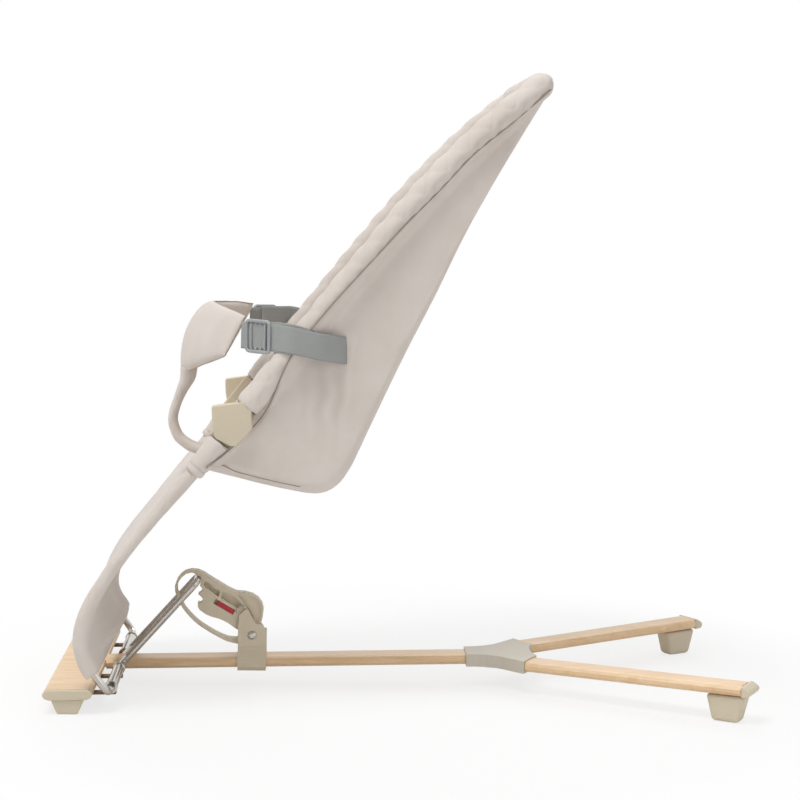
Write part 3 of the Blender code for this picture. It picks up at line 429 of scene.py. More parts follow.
def skin(name, rows, finish, closed=False, wall=0.0, inward=1.0, caps=False, folds=None):
    """A smooth surface through rows of points in millimetres; folds says how much painted shade darkens each
    point.
    """
    columns = len(rows[0])
    verts = [Vector(p) * MM for row in rows for p in row]
    faces = []
    for r in range(len(rows) - 1):
        for c in range(columns if closed else columns - 1):
            d = (c + 1) % columns
            faces.append((r * columns + c, r * columns + d, (r + 1) * columns + d, (r + 1) * columns + c))
    if caps:
        for r in (0, len(rows) - 1):
            verts.append(sum((Vector(p) for p in rows[r]), Vector()) / columns * MM)
            for c in range(columns):
                faces.append((r * columns + (c + 1) % columns, r * columns + c, len(verts) - 1))
    mesh = bpy.data.meshes.new(name)
    mesh.from_pydata(verts, [], faces)
    if folds:
        # The fold attribute carries painted shade for the cloth finish
        shade = mesh.attributes.new("fold", "FLOAT", "POINT")
        values = [v for row in folds for v in row]
        shade.data.foreach_set("value", values + [0.0] * (len(verts) - len(values)))
    if caps:
        made = bmesh.new()
        made.from_mesh(mesh)
        close_up(made, mesh)
    piece = placed(name, mesh, finish)
    if wall:
        step = piece.modifiers.new("wall", "SOLIDIFY")
        step.thickness = wall * MM
        step.offset = -inward
        step.use_even_offset = False
    return piece


def close_up(made, mesh):
    """Turns a closed form's faces outwards and writes it to its mesh."""
    bmesh.ops.recalc_face_normals(made, faces=made.faces)
    made.to_mesh(mesh)
    made.free()


def placed(name, mesh, finish=None):
    """A new smooth object in the scene, in one finish."""
    if finish:
        mesh.materials.append(finish)
    mesh.polygons.foreach_set("use_smooth", [True] * len(mesh.polygons))
    piece = bpy.data.objects.new(name, mesh)
    bpy.context.scene.collection.objects.link(piece)
    return piece


def tube(name, path, radius, finish, spacing, around):
    """A closed round cord along a path."""
    sideways = Vector((0, 1, 0))
    rows = []
    for d in path.steps(spacing):
        here, ahead = path.at(d), path.heading(d)
        across = sideways.cross(ahead).normalized() if abs(ahead.y) < 0.95 else Vector((0, 0, 1))
        up = ahead.cross(across)
        turns = [math.tau * j / around for j in range(around)]
        rows.append([here + (across * math.cos(a) + up * math.sin(a)) * radius for a in turns])
    return skin(name, rows, finish, closed=True, caps=True)


def carried(piece, *replaced, body="seat", slot="cloth"):
    """Puts a piece on a body, in the place of CAD nodes; the slot argument is not used."""
    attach(piece, body)
    if replaced:
        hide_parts(*replaced)


# Seat

def rail_path(side):
    return side_route(RAIL, 4, side * RAIL_Y)


def at_clamp(rail, side):
    return rail.nearest((CLAMP[0], side * RAIL_Y, CLAMP[1]))


def upper_path():
    """The upper frame's middle line: up the near side from the clamp, across the top, down the far side."""
    near = rail_path(-1)
    points = [near.at(d) for d in near.steps(4.0, at_clamp(near, -1))]
    top = points[-1]
    corner = rounded([near.at(near.length - 60), top, Vector((top.x, 0, top.z))], TOP_RADIUS, 12)[1:-1]
    half = [p for p in points if (p - top).length > TOP_RADIUS + 4] + corner
    return Path(half + mirrored(half)[::-1])


def front_normal(rail, here):
    """The normal to the side rail at a point of the frame, seen from the side and kept across the top."""
    at = rail.nearest((here.x, -RAIL_Y, here.z)) if abs(here.y) > RAIL_Y - 1 else rail.length
    side = rail.heading(min(at, rail.length - 8), 8.0)
    return Vector((-side.z, 0, side.x))


def quilted(along, around):
    """The height of a pillow between two crossing sets of sewn lines, from 0 to 1."""
    a = math.sin(math.pi * (along + around) / QUILT)
    b = math.sin(math.pi * (along - around) / QUILT)
    return (abs(a) * abs(b)) ** 0.5


def quilt_shade(puff):
    """How much painted shade darkens the cloth in the sewn lines, by the height of the pillow there."""
    return max(0.0, 1.0 - 2.6 * puff) * 0.3


def make_rim(finishes):
    """The quilted roll round the upper frame, from one clamp over the top to the other."""
    path, rail, seam = upper_path(), rail_path(-1), side_route(SEAM)
    rows, folds = [], []
    for d in path.steps(2.6, ROLL_START, path.length - ROLL_START):
        here, ahead = path.at(d), path.heading(d)
        out = ahead.cross(front_normal(rail, here)).normalized()
        front = out.cross(ahead).normalized()
        past_end = ease((min(d, path.length - d) - ROLL_START) / 7.0)
        flat_here = Vector((here.x, 0, here.z))
        behind = -(seam.at(seam.nearest(flat_here)) - flat_here).dot(front)
        row, dark = [], []
        for j in range(48):
            a = math.tau * j / 48
            from_seam = math.sin(a) * WRAP_R + behind
            puff = quilted(d, (WRAP_R + 1) * a) * ease((from_seam - 0.4) / 9.0)
            swell = (0.4 + 1.8 * puff) * (0.35 + 0.65 * past_end)
            r = WRAP_R - 1.4 + swell + 0.5 * drift((d, a * 9, 0), 11.0)
            row.append(here + (out * math.cos(a) + front * math.sin(a)) * r)
            # Painted shade in the quilt's sewn lines, fading out towards the seam side
            dark.append(quilt_shade(puff) * ease((from_seam + 1.0) / 5.0))
        rows.append(row)
        folds.append(dark)
    rim = skin("rim_quilt", rows, finishes["cloth"], closed=True, wall=3.0, folds=folds)
    carried(rim, "rim_padding")


def seat_stations(count):
    """Seam, rail, outward and front normals, back and share of the way, from the top to the front corner."""
    upper, near, low = upper_path(), rail_path(-1), rail_path(1)
    half = [upper.at(d) for d in upper.steps(4.0, upper.length / 2)]
    below = low.steps(4.0, low.nearest((-226, RAIL_Y, 265)), at_clamp(low, 1))
    rail = Path(half + [low.at(d) for d in below][::-1][1:])
    profile = Path([(p.x, 0, p.z) for p in rail.points])
    back, seam = side_route(BACK), side_route(SEAM)
    stations = []
    for k in range(count + 1):
        t = k / count
        here, ahead = rail.at(t * rail.length), rail.heading(t * rail.length)
        sunk = profile.nearest_mark(t * rail.length, rail) / profile.length
        front = front_normal(near, here)
        out = front.cross(ahead).normalized()
        if out.y < -0.01 or (abs(out.y) <= 0.01 and out.z < 0):
            out = -out
        stations.append((seam.at(sunk * seam.length), here, out, front, back.at(t * back.length), t))
    return stations


def side_height(behind):
    """How far the side panel stands outside the rail's middle line, by its distance behind that line."""
    if behind < 10:
        return math.sqrt(max((WRAP_R + 0.9) ** 2 - behind * behind, 0.0))
    return max(-1.6, 7.4 - (behind - 10) * 0.9)


def bucket_rows(count, inset=0.0, quilt=False):
    """Rows across the seat, from its far seam down the side and over the back to the near seam."""
    rows = []
    side_steps, arc_steps, back_steps = 28, 7, 15
    for seam, here, out, front, there, t in seat_stations(count):
        flat_here = Vector((here.x, 0, here.z))
        behind = -(seam - flat_here).dot(front)
        raised = Vector((out.x, 0, out.z))
        start = seam + raised * (side_height(behind) - 1.2 - (seam - flat_here).dot(raised))
        run = there - start
        depth = max(run.length - inset, 2.5)
        direction = run.normalized()
        slope = -direction.dot(front)
        corner = min(16.0, depth * 0.45)
        row = []
        for j in range(side_steps):
            q = (depth - corner) * (j / side_steps) ** 1.15
            stand = side_height(behind + q * slope) * abs(out.y) - (1 - abs(out.y)) * 1.6
            y = here.y + stand - inset
            if t > 0.02:
                y -= bucket_fold(start + direction * q, q, depth - q, t) * (0.3 if quilt else 1.0)
            row.append((y, q))
        edge_y = here.y - 1.6 - inset
        for j in range(arc_steps):
            a = math.pi / 2 * j / arc_steps
            row.append((edge_y - corner * (1 - math.cos(a)), depth - corner * (1 - math.sin(a))))
        for j in range(back_steps + 1):
            v = 1 - j / back_steps
            row.append(((edge_y - corner) * v, depth + 2.6 * (1 - v * v)))
        row += [(-y, q) for y, q in row[-2::-1]]
        rows.append([Vector((start.x + direction.x * q, y, start.z + direction.z * q)) for y, q in row])
    return rows


def bucket_fold(point, q, up, t):
    """Inward dip of the side panel: drape, folds below the belt's slot, puckers at the piping, the welt."""
    x, z = point.x, point.z
    dip = 1.5 * drift((x, z, 3.0), 60.0) + 0.7 * drift((x, z, 7.0), 22.0)
    pull = math.exp(-((x + 84) / 24) ** 2) * math.exp(-((z - 338) / 42) ** 2)
    dip += 1.3 * math.sin(x / 3.1 + 1.6 * drift((x, z, 1.0), 26.0)) * pull
    slot = math.exp(-((z - 394) / 15) ** 2)
    dip -= 2.6 * math.exp(-((x + 58) / 5.0) ** 2) * slot
    dip += 1.6 * math.exp(-((x + 68) / 4.0) ** 2) * slot
    dip += 0.6 * math.sin((x + z) / 3.6) * math.exp(-q / 6.0)
    low = ease((t - 0.74) / 0.05) * ease((x + 222) / 14)
    dip -= low * 0.9 * ease((SEAM_RISE + 0.8 - up) / 1.4)
    dip += low * 1.0 * math.exp(-((up - SEAM_RISE - 0.6) / 1.0) ** 2)
    return dip


def make_bucket(finishes):
    """The seat's outer cloth and its quilted lining; returns the rows of the outer cloth."""
    rows = bucket_rows(170)
    bucket = skin("seat_bucket", rows, finishes["cloth"], wall=1.6, folds=bucket_shade(rows))
    carried(bucket, "seat_shell")
    lining_rows = bucket_rows(170, inset=3.4, quilt=True)
    normals = grid_normals(lining_rows)
    centre = len(lining_rows[0]) // 2
    puffed, folds = [], []
    for r, row in enumerate(lining_rows):
        across = [0.0]
        for a, b in zip(row, row[1:]):
            across.append(across[-1] + (b - a).length)
        along = r * 5.0
        line, dark = [], []
        for c, point in enumerate(row):
            edge = min(c, len(row) - 1 - c) / 4
            puff = quilted(along, across[c] - across[centre]) * min(edge, 1.0)
            line.append(point + normals[r][c] * 2.8 * puff)
            # Painted shade in the lining's sewn lines
            dark.append(quilt_shade(puff) * min(edge, 1.0))
        puffed.append(line)
        folds.append(dark)
    lining = skin("seat_lining", puffed, finishes["cloth"], wall=1.2, folds=folds)
    carried(lining)
    return rows


def bucket_shade(rows):
    """Where painted shade darkens the seat's cloth: along its seams and in the folds below the belt."""
    shade = []
    for row in rows:
        line = []
        for c, point in enumerate(row):
            edge = min(c, len(row) - 1 - c)
            pull = math.exp(-((point.x + 84) / 24) ** 2) * math.exp(-((point.z - 345) / 40) ** 2)
            # Painted shade: stripes for the folds below the belt, and a band along the seams at the row's
            # ends
            fold = 0.5 + 0.5 * math.sin(point.x / 3.1 + 1.6 * drift((point.x, point.z, 1.0), 26.0))
            line.append(0.35 * math.exp(-edge / 1.5) + 0.4 * pull * fold)
        shade.append(line)
    return shade


def grid_normals(rows):
    """Normals of a grid of points, towards the seat's inside."""
    last, end = len(rows) - 1, len(rows[0]) - 1
    out = []
    for r, row in enumerate(rows):
        line = []
        for c in range(end + 1):
            u = row[min(c + 1, end)] - row[max(c - 1, 0)]
            v = rows[min(r + 1, last)][c] - rows[max(r - 1, 0)][c]
            n = u.cross(v)
            line.append(n.normalized() if n.length > 1e-6 else Vector((0, 0, 1)))
        out.append(line)
    flip = -1.0 if out[last // 2][end // 2].x > 0 else 1.0
    return [[n * flip for n in line] for line in out]


def make_seam_shade_cords(finishes, rows):
    """Thin dark cords as painted shade in the seams: round the rim, and along the bottom edge on both sides.
    """
    far = []
    for k, row in enumerate(rows):
        away = (row[0] - row[4]).normalized()
        sideways = 1.5 if row[0].y > 100 else 0.0
        far.append(row[0] + Vector((0, sideways, 0)) + away * (0.8 if k > 12 else 0.3))
    round_rim = Path(mirrored(far)[::-1] + far[1:])
    carried(tube("rim_seam_shade_cord", round_rim, 0.95, finishes["seam"], 3.0, 8))
    lines = []
    for side, word in ((-1, "near"), (1, "far")):
        line = []
        for row in rows[118:len(rows) - 5]:
            run = Path(row[:36])
            point = run.at(max(run.length - SEAM_RISE - 9.0, run.length * 0.35))
            if point.x < -112 and run.length > 5:
                line.append(Vector((point.x, side * (point.y + 0.25), point.z)))
        lines.append(Path(line))
        carried(tube(f"bottom_seam_shade_cord_{word}", lines[-1], 0.55, finishes["seam"], 3.0, 6))
    return lines


# Legs

def make_leg_cloth(finishes):
    """The cloth below the seat: two layers that wrap both lower rails, and hang slack between them."""
    rail = rail_path(-1)
    top = at_clamp(rail, -1) - LEG_CLOTH_TOP
    bottom = rail.nearest((-334, -RAIL_Y, 42))
    rows = []
    for d in rail.steps(2.6, bottom, top):
        here, ahead = rail.at(d), rail.heading(d, 5.0)
        back = Vector((ahead.z, 0, -ahead.x))
        hem = ease((d - bottom) / 5.0)
        radius = between(SLEEVE, here.z) - 0.7 * (1 - hem) + 0.35 * drift((d, 0, 0), 34.0, 2.0)
        slack = between(SLACK, here.z)
        outer = []
        for j in range(15):
            a = math.radians(96 - 192 * j / 14)
            r = radius + 0.25 * drift((d, a * 14, 0), 13.0)
            outer.append(here - Vector((0, 1, 0)) * (math.cos(a) * r) - back * (math.sin(a) * r))
        layers = []
        for edge, ahead_by, power in ((outer[-1], 0.0, 2.2), (outer[0], 2.6, 1.7)):
            begin = (edge - here).dot(back)
            layer = []
            for j in range(1, 22):
                v = 1 - j / 21
                push = begin + (slack - ahead_by - begin) * (1 - v ** power)
                fold = panel_fold(here.z, edge.y * v) * (1 - v ** 6)
                point = Vector((here.x, edge.y * v, here.z)) + back * (push + fold)
                join = ease((d - top + 9) / 9) * (1 - v ** 10)
                layer.append(point.lerp(Vector((-212.5, point.y, 265.8 - ahead_by * 0.4)), join))
            layers.append(layer)
        rear, front = layers
        near_half = front[::-1][1:] + outer + rear[:-1]
        rows.append(near_half + [rear[-1]] + mirrored(near_half)[::-1] + [front[-1]])
    cloth = skin("leg_cloth", rows, finishes["cloth"], closed=True, wall=1.2)
    before_it = Vector((-330, 0, 200))
    closest = min(cloth.data.polygons, key=lambda face: (face.center / MM - before_it).length)
    face_towards(cloth, closest, before_it - closest.center / MM)
    carried(cloth, "leg_panel", "leg_sleeve_near", "leg_sleeve_far")
    around = sum((a - b).length for a, b in zip(rows[20], rows[20][1:])) * MM
    size = (round(around, 3), round((top - bottom) * MM, 3))


def face_towards(piece, face, way):
    """Flips a piece whose given face looks the other way."""
    if face.normal.dot(way) < 0:
        piece.data.flip_normals()


def panel_fold(z, y):
    """Soft folds that run from the slack middle up to the narrow top."""
    slack = math.exp(-((z - 88) / 30) ** 2)
    shape = math.sin(y / 17.0 + 2.0 * drift((y, z, 0), 70.0)) * 1.5
    return shape * slack + 0.8 * drift((y, z, 5.0), 26.0)


def make_cuffs(finishes):
    """A doubled cuff on each lower rail: wide under the clamp's shield, gathered at its lower seam."""
    sideways = Vector((0, 1, 0))
    for side, word in ((-1, "near"), (1, "far")):
        rail = rail_path(side)
        clamp = at_clamp(rail, side)
        rows, folds = [], []
        for d in rail.steps(1.3, clamp - CUFF_LOW, clamp - CUFF_HIGH):
            here, ahead = rail.at(d), rail.heading(d)
            across = sideways.cross(ahead).normalized()
            t = (d - clamp + CUFF_LOW) / (CUFF_LOW - CUFF_HIGH)
            row, dark = [], []
            for j in range(36):
                a = math.tau * j / 36
                gather = 0.4 * math.sin(5 * a + d / 9.0) * t + 0.6 * drift((d, a * 6, side * 4.0), 10.0)
                r = between(CUFF, t) + gather
                reach = 3.2 * max(0.0, side * math.sin(a)) * ease((t - 0.8) / 0.15)
                row.append(here + (across * math.cos(a) + sideways * math.sin(a)) * r + ahead * reach)
                # Painted shade in the groove near the cuff's lower edge
                dark.append(0.6 * math.exp(-((t - 0.185) / 0.02) ** 2))
            rows.append(row)
            folds.append(dark)
        cuff = skin(f"cuff_{word}", rows, finishes["cloth"], closed=True, wall=1.8, folds=folds)
        face = cuff.data.polygons[len(cuff.data.polygons) // 2]
        middle = face.center / MM
        face_towards(cuff, face, middle - rail.at(rail.nearest(middle)))
        carried(cuff)


# Belt and crotch strap

def make_crotch_strap(finishes):
    path = side_route(CROTCH)
    rows = []
    for d in path.steps(2.5):
        here, ahead = path.at(d), path.heading(d)
        t = d / path.length
        back = Vector((ahead.z, 0, -ahead.x))
        wide = between(CROTCH_WIDE, t)
        thick = between(CROTCH_THICK, t) + 0.35 * drift((d, 0, 0), 16.0)
        row = []
        for j in range(28):
            a = math.tau * j / 28
            c, s = math.cos(a), math.sin(a)
            u = math.copysign(abs(c) ** 0.55, c) * wide
            w = math.copysign(abs(s) ** 0.8, s) * thick
            row.append(here + Vector((0, u, 0)) + back * (w + 0.4 * drift((d, u, 0), 11.0)))
        rows.append(row)
    strap = skin("crotch_strap_soft", rows, finishes["cloth"], closed=True, caps=True)
    carried(strap, "crotch_strap")


def pad_point(v, t):
    """A point on the pad's middle surface: v runs from wing to wing, t from its bottom to its top edge."""
    s = abs(v) ** 1.25
    middle = -246 + 5 * t + 28 * t ** 3
    wing = -192 + 22 * t
    low, high = 354 + 31 * abs(v) ** 1.2, 440 - 11 * v * v
    return Vector((middle * (1 - s) + wing * s, PAD_HALF * v * (0.97 + 0.03 * t), low + (high - low) * t))


def make_pad(finishes):
    """The winged pad: a closed form that is blown up a little, as a sewn cover over wadding."""
    columns, lines = 58, 22
    rows = []
    for face in (1, -1):
        for r in range(lines):
            t = r / lines if face > 0 else 1 - r / lines
            row = []
            for c in range(columns + 1):
                v = -1 + 2 * c / columns
                u = pad_point(min(v + 0.02, 1), t) - pad_point(max(v - 0.02, -1), t)
                w = pad_point(v, min(t + 0.02, 1)) - pad_point(v, max(t - 0.02, 0))
                full = max(0.0, (1 - abs(v) ** 9) * (1 - abs(2 * t - 1) ** 4)) ** 0.5
                gather = math.sin(27 * v + 3 * drift((v * 60, 0, 0), 30.0)) * ease((t - 0.62) / 0.38) * 0.9
                swell = 6.2 + 0.8 * drift((v * 130, t * 80, face * 9.0), 26.0)
                row.append(pad_point(v, t) + u.cross(w).normalized() * (swell * face * full + gather * full))
            rows.append(row)
    mesh = bpy.data.meshes.new("crotch_pad_soft")
    made = bmesh.new()
    grid = [[made.verts.new(p * MM) for p in row] for row in rows]
    for r in range(len(grid)):
        after = grid[(r + 1) % len(grid)]
        for c in range(columns):
            made.faces.new((grid[r][c], grid[r][c + 1], after[c + 1], after[c]))
    bmesh.ops.remove_doubles(made, verts=made.verts, dist=0.00005)
    close_up(made, mesh)
    pad = placed("crotch_pad_soft", mesh, finishes["cloth"])
    inflate(pad, 5.0)
    carried(pad, "crotch_pad")
    edge = [pad_point(-1 + 2 * k / 80, 0.0) for k in range(81)]
    edge += [pad_point(1 - 2 * k / 80, 1.0) for k in range(81)]
    onto = []
    for point in edge + edge[:1]:
        _, found, normal, _ = pad.closest_point_on_mesh(point * MM)
        onto.append(found / MM + normal * 0.15)
    # A dark cord in the seam finish: painted shade along the pad's edge seam
    carried(tube("pad_seam_shade_cord", Path(onto), 0.6, finishes["seam"], 2.5, 6))


def applied(piece):
    """Turns the piece's live modifiers into its mesh."""
    made = bpy.data.meshes.new_from_object(piece.evaluated_get(bpy.context.evaluated_depsgraph_get()))
    piece.modifiers.clear()
    piece.data = made


def inflate(piece, cap):
    """Blows a closed form up like wadding under its cover, no point further than the cap in millimetres."""
    before = [v.co.copy() for v in piece.data.vertices]
    scene = bpy.context.scene
    scene.frame_set(1)
    blow = piece.modifiers.new("blow", "CLOTH")
    blow.settings.use_pressure = True
    blow.settings.uniform_pressure_force = 4.0
    blow.settings.effector_weights.gravity = 0.0
    blow.point_cache.frame_start = 1
    blow.point_cache.frame_end = 20
    for number in range(1, 21):
        scene.frame_set(number)
    applied(piece)
    scene.frame_set(1)
    for vertex, start in zip(piece.data.vertices, before):
        moved = vertex.co - start
        if moved.length > cap * MM:
            vertex.co = start + moved.normalized() * cap * MM
    piece.data.update()
    step = piece.modifiers.new("smooth", "SUBSURF")
    step.levels = step.render_levels = 1
    applied(piece)


def ribbon(name, path, finish, sway):
    """Webbing on edge along a path, with a slight sway and thick enough to show its selvedge."""
    rows = []
    for d in path.steps(2.0):
        here, ahead = path.at(d), path.heading(d)
        flat_side = Vector((ahead.y, -ahead.x, 0)).normalized()
        row = []
        for j in range(13):
            w = (j / 12 - 0.5) * WEBBING
            row.append(here + Vector((0, 0, w)) + flat_side * (sway * math.sin(d / 11.0 + w / 14.0)))
        rows.append(row)
    return skin(name, rows, finish, wall=1.5, inward=0.0)


def make_belt(finishes):
    """On each side the webbing from seat to pad, its tail behind it, and the slide that joins them."""
    for side, word in ((-1, "near"), (1, "far")):
        wing = Vector((-178.0, side * (PAD_HALF + 1.0), 410))
        bend = Vector((-128, side * (BELT_Y + 2.5), 408))
        slot = Vector((-66, side * (RAIL_Y - 3.0), 396))
        turn = Vector((-73, side * (RAIL_Y + 4.0), 397))
        rise = Vector((-92, side * BELT_Y, 400))
        path = Path(rounded([slot, turn, rise, bend, wing], 9, 8))
        strap = ribbon(f"waist_webbing_{word}", path, finishes["webbing"], 0.5)
        carried(strap, f"waist_strap_{word}", slot="webbing")
        behind_bend = bend + Vector((2, -side * 3.0, 2.5))
        behind_wing = wing + Vector((14, side * 6.8, 1.0))
        inner = Path(rounded([Vector((-100, side * (BELT_Y - 2.0), 403)), behind_bend, behind_wing], 9, 8))
        tail = ribbon(f"waist_tail_{word}", inner, finishes["webbing"], 0.3)
        carried(tail, slot="webbing")
        make_slide(finishes, word, side, wing, bend)


def make_slide(finishes, word, side, wing, bend):
    """The three-bar slide: a rounded frame in front of the webbing with its middle bar behind."""
    along = (bend - wing).normalized()
    upright = Vector((0, 0, 1))
    flat_out = along.cross(upright).normalized()
    if flat_out.y * side < 0:
        flat_out = -flat_out
    cad_wing = Vector((-176.2, side * (PAD_HALF + 2.3), 410))
    cad_bend = Vector((-128, side * (RAIL_Y + 17.5), 408))
    centre = cad_wing + (cad_bend - cad_wing).normalized() * 21
    half, high = SLIDE_LENGTH / 2 - 2.0, WEBBING + 7.5

    def spot(a, b, c):
        return centre + along * a + upright * b + flat_out * c

    made = bmesh.new()
    bar(made, [spot(a, b, 1.6) for a, b in rounded_loop(half, high / 2 - 2.0, 3.4)], 2.0, flat_out, True)
    heights = [(-0.5 + j / 12) * (high - 4.5) for j in range(13)]
    for a, level in ((-9.0, 1.9), (-3.2, -2.0), (3.2, -2.0), (9.5, 1.9)):
        line = [spot(a, b, level if abs(b) < high / 2 - 5 else 1.2) for b in heights]
        bar(made, line, 1.5, flat_out, False)
    mesh = bpy.data.meshes.new(f"slide_{word}")
    close_up(made, mesh)
    piece = placed(f"slide_{word}", mesh, finishes["clear_grey"])
    carried(piece, f"strap_adjuster_{word}", body=f"adjuster_{word}", slot="clear_grey")


def rounded_loop(half_long, half_high, radius):
    """Points round a rectangle with rounded corners."""
    points = []
    for sx, sy, first in ((1, 1, 0), (-1, 1, 90), (-1, -1, 180), (1, -1, 270)):
        for j in range(7):
            a = math.radians(first + 15 * j)
            points.append((sx * (half_long - radius) + radius * math.cos(a),
                           sy * (half_high - radius) + radius * math.sin(a)))
    return points


def bar(made, points, radius, flat_out, looped, around=10):
    """Adds a round bar through points, closed into a ring or capped at both ends."""
    count = len(points)
    rings = []
    for k, here in enumerate(points):
        before = points[(k - 1) % count] if looped or k else here
        after = points[(k + 1) % count] if looped or k < count - 1 else here
        ahead = (after - before).normalized()
        one = ahead.cross(flat_out).normalized()
        two = ahead.cross(one)
        turns = [math.tau * j / around for j in range(around)]
        ring = [here + (one * math.cos(a) + two * math.sin(a)) * radius for a in turns]
        rings.append([made.verts.new(point * MM) for point in ring])
    for k in range(count if looped else count - 1):
        a, b = rings[k], rings[(k + 1) % count]
        for j in range(around):
            made.faces.new((a[j], a[(j + 1) % around], b[(j + 1) % around], b[j]))
    if not looped:
        made.faces.new(rings[0][::-1])
        made.faces.new(rings[-1])


# Stitches

def stitch_tree(finish):
    """Geometry nodes that lay short threads along a line; pitch, length and thickness are inputs."""
    tree = bpy.data.node_groups.new("stitches", "GeometryNodeTree")
    face = tree.interface
    face.new_socket("Line", in_out="INPUT", socket_type="NodeSocketGeometry")
    for name, value in (("Pitch", 0.0035), ("Thread length", 0.0024), ("Thread radius", 0.00028)):
        face.new_socket(name, in_out="INPUT", socket_type="NodeSocketFloat").default_value = value
    face.new_socket("Stitches", in_out="OUTPUT", socket_type="NodeSocketGeometry")
    nodes = Nodes(tree)
    inside = nodes.node("NodeGroupInput", {}).socket.node.outputs
    line, pitch, length, radius = [Wire(nodes, inside[name])
                                   for name in ("Line", "Pitch", "Thread length", "Thread radius")]
    curve = nodes.node("GeometryNodeMeshToCurve", {}, [line])
    points = nodes.node("GeometryNodeCurveToPoints", {"mode": "LENGTH"}, {"Curve": curve, "Length": pitch},
                        output="Points")
    tangent = Wire(nodes, points.socket.node.outputs["Tangent"])
    thread = nodes.node("GeometryNodeMeshCylinder", {}, {"Vertices": 6, "Depth": length, "Radius": radius},
                        output="Mesh")
    along = nodes.node("FunctionNodeAlignRotationToVector", {"axis": "Z"}, {"Vector": tangent})
    laid = nodes.node("GeometryNodeInstanceOnPoints", {}, {"Points": points, "Instance": thread,
                                                           "Rotation": along})
    real = nodes.node("GeometryNodeRealizeInstances", {}, [laid])
    coloured = nodes.node("GeometryNodeSetMaterial", {}, {"Geometry": real, "Material": finish})
    nodes.node("NodeGroupOutput", {}, [coloured], output=None)
    return tree


def sewn(name, tree, points):
    """One row of stitches along a line."""
    path = Path(points)
    mesh = bpy.data.meshes.new(name)
    ends = [path.at(d) * MM for d in path.steps(2.0)]
    mesh.from_pydata(ends, [(k, k + 1) for k in range(len(ends) - 1)], [])
    piece = bpy.data.objects.new(name, mesh)
    bpy.context.scene.collection.objects.link(piece)
    piece.modifiers.new("stitches", "NODES").node_group = tree
    applied(piece)
    carried(piece)


def make_stitches(finishes, rows, seams):
    """Rows of stitches beside the rim's piping and above the bottom seam, on both sides."""
    tree = stitch_tree(finishes["thread"])
    beside = [Path(row[:20]).at(3.4) for row in rows[34:len(rows) - 8]]
    for side, word in ((-1, "near"), (1, "far")):
        sewn(f"rim_stitches_{word}", tree, [Vector((p.x, side * (p.y + 0.12), p.z)) for p in beside])
    for path, word in zip(seams, ("near", "far")):
        above = [p + Vector((0, math.copysign(0.1, p.y), 2.0)) for p in path.points]
        sewn(f"bottom_stitches_{word}", tree, above)


def make_spring(finishes):
    """The short bent wire that holds the lever against the crank's pin."""
    path = side_route([(-186, 82), (-183.5, 87.5), (-180, 90.4), (-176.6, 89.6), (-174.4, 86.4)], 1.0, -9.6)
    carried(tube("lever_spring_wire", path, 0.75, finishes["steel"], 1.0, 8), body="base", slot="steel")


# Studio

def make_floor():
    """A pale floor that keeps the shadow near the bouncer and fades to white further off."""
    f = Finish("floor")
    seen = f.node("ShaderNodeLightPath", {}, output="Is Camera Ray")
    x, y, _ = f.split(f.place())
    away = ((x * x + y * y) ** 0.5 - 0.45).clamp() * 1.6
    glow = f.node("ShaderNodeEmission", {}, {"Color": (1, 1, 1), "Strength": 1.0})
    f.set(Base_Color=(0.86, 0.86, 0.86), Roughness=0.9)
    surface = Wire(f, f.shader.outputs[0])
    mixed = f.node("ShaderNodeMixShader", {}, [seen * (0.74 + away).clamp(), surface, glow])
    f.plug(f.tree.nodes["Material Output"].inputs["Surface"], mixed)
    mesh = bpy.data.meshes.new("floor")
    corners = [(x * 30.0, y * 30.0, 0) for x, y in ((-1, -1), (1, -1), (1, 1), (-1, 1))]
    mesh.from_pydata(corners, [], [(0, 1, 2, 3)])
    floor = placed("floor", mesh, f.material)
    floor.location.z = -0.0004


def make_lamps():
    middle = Vector((0, 0, 0.3))
    for name, (place, size, power) in LAMPS.items():
        data = bpy.data.lights.new(name, "AREA")
        data.size = size
        data.energy = power
        lamp = bpy.data.objects.new(name, data)
        bpy.context.scene.collection.objects.link(lamp)
        lamp.location = place
        lamp.rotation_euler = (middle - Vector(place)).to_track_quat("-Z", "Y").to_euler()


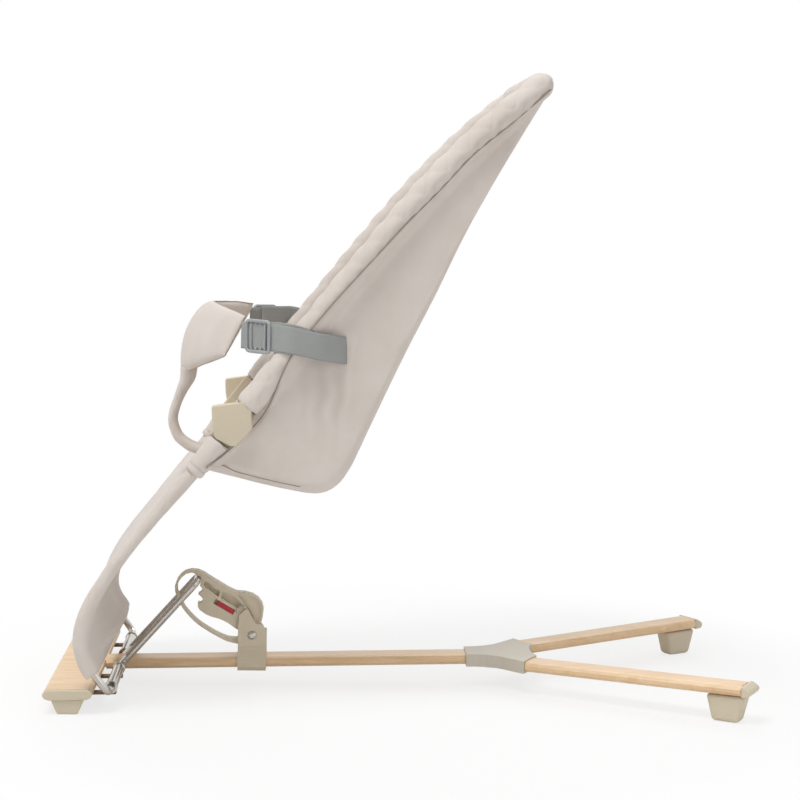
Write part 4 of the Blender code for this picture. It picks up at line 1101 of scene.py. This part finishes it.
def make_world():
    """White to the camera; to polished pieces a white room with a dim wall behind the camera."""
    world = bpy.data.worlds.new("studio")
    bpy.context.scene.world = world
    world.use_nodes = True
    world.node_tree.nodes.clear()
    nodes = Nodes(world.node_tree)
    rays = nodes.node("ShaderNodeLightPath", {}).socket.node.outputs
    camera = Wire(nodes, rays["Is Camera Ray"])
    glossy = Wire(nodes, rays["Is Glossy Ray"])
    through = Wire(nodes, rays["Is Transmission Ray"])
    across = nodes.split(nodes.node("ShaderNodeTexCoord", {}, output="Generated"))[1]
    values = {"Value": across, "From Min": -0.75, "From Max": -0.35, "To Min": 0.22, "To Max": 1.0}
    wall = nodes.node("ShaderNodeMapRange", {"interpolation_type": "SMOOTHSTEP"}, values)
    soft, room, white = [nodes.node("ShaderNodeBackground", {}, {"Color": (1, 1, 1), "Strength": strength})
                         for strength in (0.56, wall, 1.0)]
    lit = nodes.node("ShaderNodeMixShader", {}, [glossy, soft, room])
    shown = nodes.node("ShaderNodeMixShader", {}, [camera.larger(through), lit, white])
    nodes.node("ShaderNodeOutputWorld", {}, {"Surface": shown}, output=None)


def make_camera():
    """The photograph's own view: a long lens a little above the seat, tipped one degree."""
    pitch, yaw, roll = math.radians(5.803), math.radians(2.48), math.radians(1.014)
    ahead = Vector((math.sin(yaw) * math.cos(pitch), math.cos(yaw) * math.cos(pitch), -math.sin(pitch)))
    level = Vector((math.cos(yaw), -math.sin(yaw), 0))
    upward = level.cross(ahead)
    right = level * math.cos(roll) + upward * math.sin(roll)
    up = upward * math.cos(roll) - level * math.sin(roll)
    data = bpy.data.cameras.new("camera")
    data.sensor_width = 36.0
    data.lens = LENS
    data.clip_end = 100.0
    camera = bpy.data.objects.new("camera", data)
    bpy.context.scene.collection.objects.link(camera)
    camera.matrix_world = Matrix.Translation(EYE) @ Matrix((right, up, -ahead)).transposed().to_4x4()
    bpy.context.scene.camera = camera


def main():
    bpy.context.scene.view_settings.view_transform = "Standard"
    finishes = make_finishes()
    paint_cad(finishes)
    make_floor()
    make_world()
    make_lamps()
    make_camera()
    make_rim(finishes)
    rows = make_bucket(finishes)
    seams = make_seam_shade_cords(finishes, rows)
    make_leg_cloth(finishes)
    make_cuffs(finishes)
    make_crotch_strap(finishes)
    make_pad(finishes)
    make_belt(finishes)
    make_stitches(finishes, rows, seams)
    make_spring(finishes)


main()
